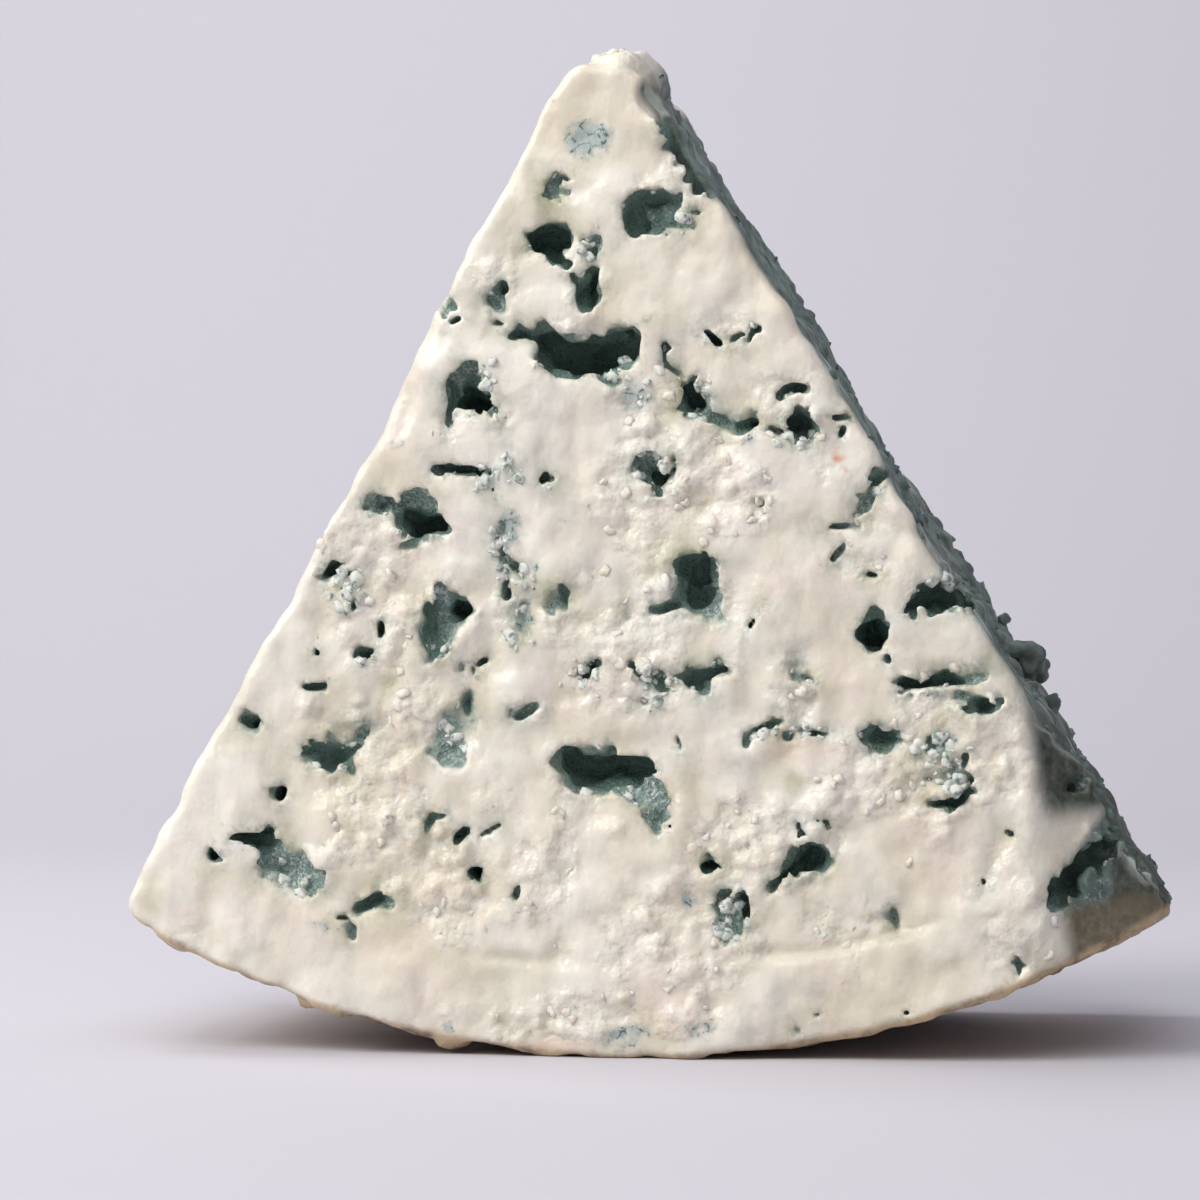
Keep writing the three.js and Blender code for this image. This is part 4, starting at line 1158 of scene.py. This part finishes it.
class Recipe(Nodes):
    """Builds one material's nodes."""

    def __init__(self, name):
        self.material = bpy.data.materials.new(name)
        self.material.use_nodes = True
        self.tree = self.material.node_tree
        self.tree.nodes.clear()
        self.place = self.node("ShaderNodeTexCoord").outputs["Object"]

    def attribute(self, name):
        node = self.node("ShaderNodeAttribute", {"attribute_name": name})
        return Value(self, node.outputs["Fac"])

    def stretched(self, stretch):
        settings = {"operation": "MULTIPLY"}
        return self.node("ShaderNodeVectorMath", settings, self.place, stretch).outputs[0]

    def grain(self, wavelength, detail=2.0, roughness=0.5, stretch=(1, 1, 1), warp=0.0):
        """Noise from 0 to 1, about 0.5, whose waves are this many millimetres long."""
        place = self.stretched(stretch)
        node = self.node(
            "ShaderNodeTexNoise",
            None,
            Vector=place,
            Scale=1.0 / (wavelength * MM),
            Detail=detail,
            Roughness=roughness,
            Distortion=warp,
        )
        return Value(self, node.outputs["Fac"])

    def cells(self, wavelength, feature="F1"):
        settings = {"feature": feature}
        node = self.node("ShaderNodeTexVoronoi", settings, Vector=self.place, Scale=1.0 / (wavelength * MM))
        return Value(self, node.outputs["Distance"])

    def mixed(self, share, first, second):
        """A colour between two colours."""
        node = self.node("ShaderNodeMix", {"data_type": "RGBA", "clamp_factor": True})
        self.feed(node.inputs[0], share)
        self.feed(node.inputs[6], first)
        self.feed(node.inputs[7], second)
        return node.outputs[2]

    def layered(self, colour, *layers):
        """A colour with others laid over it, each by its share."""
        for share, over in layers:
            colour = self.mixed(share, colour, over)
        return colour

    def bumped(self, height, distance, under=None):
        node = self.node("ShaderNodeBump", None, Strength=1.0, Distance=distance * MM, Height=height)
        if under is not None:
            self.feed(node.inputs["Normal"], under)
        return node.outputs[0]

    def skin(self, colour, roughness, normal, **named):
        named.update(Base_Color=colour, Roughness=roughness, Normal=normal)
        return self.node("ShaderNodeBsdfPrincipled", {"distribution": "GGX"}, **named).outputs[0]

    def finish(self, shader):
        self.node("ShaderNodeOutputMaterial", None, Surface=shader)
        return self.material


def shade(red, green, blue):
    """A colour given as it looks on screen, from 0 to 255."""
    linear = []
    for part in (red, green, blue):
        part /= 255
        linear.append(part / 12.92 if part <= 0.04045 else ((part + 0.055) / 1.055) ** 2.4)
    return (*linear, 1.0)


IVORY = shade(232, 227, 215)
CREAM = shade(226, 216, 197)
BLUSH = shade(229, 214, 203)
CHALK = shade(238, 234, 222)
TAN = shade(206, 184, 146)
SHADOWED = shade(208, 198, 172)
OLIVE = shade(164, 164, 118)
STAIN = shade(158, 166, 152)
OCHRE = shade(214, 128, 84)
RIND = shade(196, 172, 136)
RIND_DARK = shade(120, 96, 70)
# The right cut's slate is partly mould and partly painted shade.
SLATE = shade(78, 96, 92)
SLATE_PALE = shade(124, 142, 136)
# Painted shade for the torn slope at the lower right and the lower right cut.
SHADE_GREEN = shade(50, 60, 52)
# Brown painted shade for the scoop by the point and the foot of the torn slope.
SHADE_BROWN = shade(106, 98, 78)
# Darkest painted shade for the foot of the right cut.
SHADE_DARKEST = shade(56, 53, 42)
SCORED = shade(44, 54, 54)
# Lining colour deeper in the hollows, darker as painted shade.
LINING_SHADE = shade(112, 136, 126)
GREEN = shade(124, 146, 136)
SLOPE = shade(136, 150, 136)
FUR = shade(130, 148, 140)
FROST = shade(188, 202, 196)
FLUSH = shade(152, 168, 166)
FLECK = shade(84, 104, 104)
PITH = shade(52, 68, 66)
CURD = shade(222, 224, 214)
BACKDROP = shade(206, 203, 209)
ROOM = shade(214, 216, 228)


# How far red, green and blue light spreads in the paste, against each other.
PASTE_GLOW = (1.0, 0.8, 0.6)


def paste_material():
    recipe = Recipe("blue cheese paste")
    depth = recipe.attribute("depth")
    mould = recipe.attribute("mould")
    rim = recipe.attribute("rim")
    rough = recipe.attribute("rough")
    right_cut = recipe.attribute("right_cut")
    bevel = recipe.attribute("bevel")
    umber = recipe.attribute("umber")

    middling = recipe.grain(4.0, 3.0)
    fine = recipe.grain(1.1, 3.0, 0.6)
    speck = recipe.grain(0.45, 2.0, 0.6)
    mottle = recipe.grain(3.0, 4.0, 0.6)

    # The paste is ivory and cream. Round the eyes it is chalky here and stained olive or blue there. Its
    # valleys and creases get painted shade.
    stained = recipe.attribute("halo") * recipe.grain(3.4, 3.0, 0.6).rising(0.42, 0.62)
    paste = recipe.layered(
        IVORY,
        (recipe.grain(16.0, 2.0).rising(0.35, 0.7), CREAM),
        (recipe.grain(9.0, 2.0, warp=0.4).rising(0.5, 0.7) * 0.5, BLUSH),
        (recipe.grain(5.0, 2.0).rising(0.52, 0.7) * 0.5, CHALK),
        (middling.rising(0.64, 0.8) * 0.25, TAN),
        (recipe.attribute("crease") * 0.45, SHADOWED),
        (rough * fine.rising(0.48, 0.62) * 0.45, CHALK),
        (rim * middling.falling(0.38, 0.48) * 0.5, CHALK),
        (rim * middling.rising(0.45, 0.65) * 0.4, OLIVE),
        (stained * 0.75, STAIN),
        (rim * rim * fine.rising(0.45, 0.65) * 0.7, FUR),
        (recipe.attribute("olive") * (0.3 + 0.6 * fine), OLIVE),
        ((recipe.attribute("ochre") * (0.4 + fine)).clamped() * 0.7, OCHRE),
    )

    # Hair-thin veins run out of the eyes, and mould with darker flecks in it lies flush in the face.
    wander = recipe.grain(2.6, 2.0, 0.5, warp=0.6)
    line = (wander - 0.5).combined("ABSOLUTE").falling(0.008, 0.026)
    veined = line * rim.rising(0.02, 0.12) * recipe.grain(1.9, 1.0).rising(0.42, 0.52)
    hidden = recipe.attribute("hidden") * recipe.grain(7.0, 1.0).rising(0.62, 0.74) * 0.8
    flush = recipe.attribute("flush").max(hidden)
    patchy = flush + (fine - 0.5) * 1.6 + (middling - 0.5) * 1.2
    powder = patchy.rising(0.1, 0.9) * flush.rising(0.0, 0.3) * (0.6 + 0.8 * speck).clamped()
    cracked = recipe.cells(1.5, "DISTANCE_TO_EDGE").falling(0.02, 0.1) * speck.rising(0.4, 0.5)
    cracked = cracked * powder.rising(0.3, 0.8) * fine.rising(0.38, 0.55)
    paste = recipe.layered(paste, (veined * 0.85, FLECK), (powder * 0.85, FLUSH), (cracked * 0.9, FLECK))

    # The right cut is slate, partly mould and partly painted shade that deepens towards its foot, streaked
    # along its front edge and scored down its length.
    streak = recipe.grain(1.5, 2.0, 0.6, (0.1, 1.0, 0.1)).rising(0.56, 0.64)
    slate = recipe.layered(
        SLATE,
        (mottle.rising(0.35, 0.65), SLATE_PALE),
        (recipe.attribute("sunless") * 0.75, SHADE_GREEN),
        (recipe.attribute("streaked") * streak, FROST),
        (recipe.grain(1.1, 2.0, 0.6, (0.15, 1.0, 0.15)).falling(0.4, 0.48) * 0.6, SCORED),
    )
    speckled = recipe.attribute("speckled")
    paste = recipe.layered(
        paste,
        (right_cut * 0.95, slate),
        # Painted shade over the torn slope at the lower right.
        (bevel * (0.75 + fine * 0.4).clamped(), SHADE_GREEN),
        # Brown painted shade low on the torn slope and in the scoop.
        (umber * (0.7 + fine * 0.5).clamped(), SHADE_BROWN),
        # Darkest painted shade at the foot of the right cut.
        (recipe.attribute("peat") * 0.85, SHADE_DARKEST),
        (speckled * 0.95, recipe.mixed(middling.rising(0.4, 0.65), SLATE, SLATE_PALE)),
        (speckled * speck.rising(0.6, 0.66) * 0.5, FROST),
        (recipe.attribute("rind") * 0.9, recipe.mixed(mottle.rising(0.45, 0.7), RIND, RIND_DARK)),
        ((depth + (middling - 0.5) * 0.8).rising(0.08, 0.9) * 0.85, SLOPE),
    )

    fur = recipe.mixed(speck.rising(0.45, 0.65), FUR, FROST)
    fur = recipe.mixed(fine.rising(0.48, 0.7) * 0.8, fur, GREEN)
    lining = recipe.layered(
        GREEN,
        # Painted shade: the lining darkens deeper in a hollow.
        (depth.rising(1.0, 3.0), LINING_SHADE),
        ((mould * 1.35 + (fine - 0.5) * 1.2 - depth * 0.07).rising(0.35, 0.75), fur),
        (recipe.grain(0.3, 2.0, 0.7).rising(0.58, 0.66) * 0.7, PITH),
        # Painted shade where the lining lies in the torn slope.
        (bevel * 0.85, SHADE_GREEN),
    )
    in_eye = (depth + (fine - 0.5) * 0.8).rising(0.3, 1.0)

    coarse = 0.2 + rough * 0.9
    bumps = recipe.bumped(recipe.grain(0.9, 2.0, 0.5) * coarse, 0.3)
    bumps = recipe.bumped(recipe.grain(2.2, 2.0, 0.5, (1.0, 1.0, 0.7)), 0.3, under=bumps)
    gloss = 0.34 - fine.rising(0.45, 0.65) * 0.12 + right_cut.max(umber).max(bevel) * 0.35
    moist = recipe.skin(
        paste,
        gloss,
        bumps,
        IOR=1.42,
        Subsurface_Weight=0.55,
        Subsurface_Radius=PASTE_GLOW,
        Subsurface_Scale=0.9 * MM,
    )
    grit = recipe.bumped(recipe.cells(0.32), 0.14)
    grit = recipe.bumped(speck, 0.25, under=grit)
    lined = recipe.skin(lining, 0.85, grit, IOR=1.35)
    both = recipe.node("ShaderNodeMixShader", None, in_eye, moist, lined)
    return recipe.finish(both.outputs[0])


mesh.materials.clear()
mesh.materials.append(paste_material())
cheese = add_object("wedge_paste", mesh)
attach(cheese, "root")
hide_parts("cheese_wedge")

# --- Crumbs of paste and curds of mould, scattered over the skin --------------------------------


class Scatter(Nodes):
    """A node tree that strews lumpy grains over a mesh, by one of its attributes."""

    def __init__(self, name):
        self.tree = bpy.data.node_groups.new(name, "GeometryNodeTree")
        self.inputs = {}
        self.source = self.tree.nodes.new("NodeGroupInput")
        self.declare("Geometry", "NodeSocketGeometry")
        self.tree.interface.new_socket("Geometry", in_out="OUTPUT", socket_type="NodeSocketGeometry")

    def declare(self, name, kind="NodeSocketFloat"):
        socket = self.tree.interface.new_socket(name, in_out="INPUT", socket_type=kind)
        self.inputs[name] = socket.identifier
        return self.given(name)

    def given(self, name):
        return self.source.outputs[name]

    def scaled(self, vector, factor):
        node = self.node("ShaderNodeVectorMath", {"operation": "SCALE"}, Vector=vector, Scale=factor)
        return node.outputs[0]

    def drawn(self, data_type, **named):
        return self.node("FunctionNodeRandomValue", {"data_type": data_type}, **named)


def scatter_tree():
    tree = Scatter("strewn grains")
    for name in ("Spacing", "Density", "Smallest", "Largest", "Sunk", "Lumpiness"):
        tree.declare(name)
    tree.declare("Seed", "NodeSocketInt")
    tree.declare("Where", "NodeSocketString")
    tree.declare("Material", "NodeSocketMaterial")
    given = tree.given

    where = tree.node("GeometryNodeInputNamedAttribute", {"data_type": "FLOAT"}, Name=given("Where"))
    points = tree.node(
        "GeometryNodeDistributePointsOnFaces",
        {"distribute_method": "POISSON"},
        Mesh=given("Geometry"),
        Distance_Min=given("Spacing"),
        Density_Max=given("Density"),
        Density_Factor=where.outputs["Attribute"],
        Seed=given("Seed"),
    )
    offset = tree.scaled(points.outputs["Normal"], given("Sunk"))
    placed = tree.node("GeometryNodeSetPosition", Geometry=points.outputs["Points"], Offset=offset)
    ball = tree.node("GeometryNodeMeshIcoSphere", Radius=1.0, Subdivisions=2)
    turned = tree.drawn("FLOAT_VECTOR", Max=(6.3, 6.3, 6.3), Seed=given("Seed"))
    stretched = tree.drawn("FLOAT_VECTOR", Min=(0.7, 0.7, 0.7), Max=(1.4, 1.1, 1.0), Seed=7)
    size = tree.drawn("FLOAT", Min=0.0, Max=1.0, Seed=11)
    uneven = tree.node("ShaderNodeMath", {"operation": "POWER"}, size.outputs[1], 2.0)
    smallest, largest = given("Smallest"), given("Largest")
    radius = tree.node("ShaderNodeMapRange", Value=uneven.outputs[0], To_Min=smallest, To_Max=largest)
    grains = tree.node(
        "GeometryNodeInstanceOnPoints",
        Points=placed.outputs[0],
        Instance=ball.outputs[0],
        Rotation=turned.outputs[0],
        Scale=tree.scaled(stretched.outputs[0], radius.outputs[0]),
    )
    real = tree.node("GeometryNodeRealizeInstances", Geometry=grains.outputs[0])
    rough = tree.node("ShaderNodeTexNoise", {"noise_dimensions": "3D"}, Scale=1 / (0.6 * MM), Detail=1.0)
    middle = (0.5, 0.5, 0.5)
    centred = tree.node("ShaderNodeVectorMath", {"operation": "SUBTRACT"}, rough.outputs["Color"], middle)
    pushed = tree.scaled(centred.outputs[0], given("Lumpiness"))
    lumpy = tree.node("GeometryNodeSetPosition", Geometry=real.outputs[0], Offset=pushed)
    dressed = tree.node("GeometryNodeSetMaterial", Geometry=lumpy.outputs[0], Material=given("Material"))
    tree.node("NodeGroupOutput", None, dressed.outputs[0])
    return tree


def strew(tree, name, **values):
    """A mesh of its own with the tree's grains on the cheese."""
    holder = add_object("strewing", mesh)
    modifier = holder.modifiers.new("strewn", "NODES")
    modifier.node_group = tree.tree
    for key, value in values.items():
        modifier[tree.inputs[key]] = value
    strewn = applied(holder)
    strewn.name = name
    strewn.shade_smooth()
    grains = add_object(name, strewn)
    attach(grains, "root")


def grain_material(name, mottle, share, colours, gritty, roughness, **named):
    recipe = Recipe(name)
    colour = recipe.mixed(recipe.grain(*mottle).rising(*share), *colours)
    wavelength, distance = gritty
    bumps = recipe.bumped(recipe.grain(wavelength, 2.0, 0.6), distance)
    return recipe.finish(recipe.skin(colour, roughness, bumps, **named))


translucent = {"Subsurface_Weight": 0.5, "Subsurface_Radius": PASTE_GLOW, "Subsurface_Scale": 0.6 * MM}
paste_grain = grain_material(
    "crumbs of paste", (3.0, 2.0), (0.35, 0.65), (IVORY, CREAM), (0.5, 0.1), 0.5, IOR=1.35, **translucent
)
curd_grain = grain_material(
    "mouldy curds", (0.9, 3.0, 0.6), (0.5, 0.66), (CURD, FUR), (0.3, 0.12), 0.8, IOR=1.3
)
# The crumbs on the right cut take its slate, partly painted shade.
slate_grain = grain_material(
    "crumbs on the cut", (1.5, 2.0), (0.4, 0.65), (SLATE, SLATE_PALE), (0.4, 0.1), 0.6, IOR=1.35
)

# Each kind of grain: name, attribute, spacing, density, smallest, largest, sunk, lumpiness, seed, material.
GRAINS = [
    ("paste_crumbs", "crumbly", 0.6, 1.2e6, 0.2, 0.75, -0.35, 1.2, 3, paste_grain),
    ("mould_curds", "curdy", 0.62, 3.4e6, 0.25, 0.75, -0.2, 1.0, 5, curd_grain),
    ("cut_crumbs", "grainy", 0.7, 1.0e6, 0.12, 0.6, -0.15, 1.0, 9, slate_grain),
]
grain_tree = scatter_tree()
for name, where, spacing, density, smallest, largest, sunk, lumpiness, seed, material in GRAINS:
    strew(
        grain_tree,
        name,
        Where=where,
        Spacing=spacing * MM,
        Density=density,
        Smallest=smallest * MM,
        Largest=largest * MM,
        Sunk=sunk * MM,
        Lumpiness=lumpiness * MM,
        Seed=seed,
        Material=material,
    )

# --- Floor, light and camera -------------------------------------------------------------------

FLOOR_HALF = 1.2
SWEEP_RADIUS = 0.35
SWEEP_START = 0.30
SWEEP_STEPS = 12


def make_floor():
    """A pale floor that sweeps up behind the wedge."""
    profile = [(-FLOOR_HALF, 0.0), (SWEEP_START, 0.0)]
    for step in range(1, SWEEP_STEPS + 1):
        turn = math.pi / 2 * step / SWEEP_STEPS
        profile.append(
            (SWEEP_START + SWEEP_RADIUS * math.sin(turn), SWEEP_RADIUS * (1 - math.cos(turn)))
        )
    profile.append((SWEEP_START + SWEEP_RADIUS, FLOOR_HALF))
    vertices = [(side * FLOOR_HALF, y, z) for side in (-1, 1) for y, z in profile]
    count = len(profile)
    faces = [(i, i + count, i + count + 1, i + 1) for i in range(count - 1)]
    floor_mesh = bpy.data.meshes.new("floor")
    floor_mesh.from_pydata(vertices, [], faces)
    floor_mesh.shade_smooth()
    floor = add_object("floor", floor_mesh)
    recipe = Recipe("pale floor")
    normal = recipe.node("ShaderNodeNewGeometry").outputs["Normal"]
    floor_mesh.materials.append(recipe.finish(recipe.skin(BACKDROP, 0.7, normal)))


def aim(thing, target):
    thing.rotation_mode = "QUATERNION"
    thing.rotation_quaternion = (Vector(target) - thing.location).to_track_quat("-Z", "Y")


# Each light: its name, place, target, size, power and colour.
LIGHTS = [
    ("window", (-0.54, -0.42, 0.50), (0.0, 0.0, 0.05), 0.46, 4.65, (1.0, 0.985, 0.965)),
    ("ceiling", (0.02, -0.45, 0.6), (0.0, 0.0, 0.05), 0.6, 2.0, (0.98, 0.99, 1.0)),
    ("backdrop", (-0.25, 0.12, 0.5), (0.05, 0.55, 0.1), 0.4, 1.5, (0.97, 0.97, 1.0)),
]
ROOM_LIGHT = 0.39


def add_light(name, location, target, size, power, colour):
    data = bpy.data.lights.new(name, "AREA")
    data.shape = "DISK"
    data.size = size
    data.energy = power
    data.color = colour
    light = add_object(name, data)
    light.location = location
    aim(light, target)


def set_stage():
    make_floor()
    for light in LIGHTS:
        add_light(*light)
    world = bpy.data.worlds.new("room")
    world.use_nodes = True
    background = world.node_tree.nodes["Background"]
    background.inputs["Color"].default_value = ROOM
    background.inputs["Strength"].default_value = ROOM_LIGHT
    scene = bpy.context.scene
    scene.world = world
    scene.view_settings.view_transform = "Standard"
    scene.view_settings.look = "None"


CAMERA_PLACE = Vector((52.4, -420.9, 44.5))
CAMERA_TARGET = Vector((-4.6, -25.0, 44.5))
LENS = 123.96
SENSOR = 36.0
NEAR_AND_FAR = (0.01, 10.0)


def set_camera():
    data = bpy.data.cameras.new("camera")
    data.lens = LENS
    data.sensor_width = SENSOR
    data.clip_start, data.clip_end = NEAR_AND_FAR
    camera = add_object("camera", data)
    camera.location = CAMERA_PLACE * MM + SHIFT
    aim(camera, CAMERA_TARGET * MM + SHIFT)
    bpy.context.scene.camera = camera


set_stage()
set_camera()
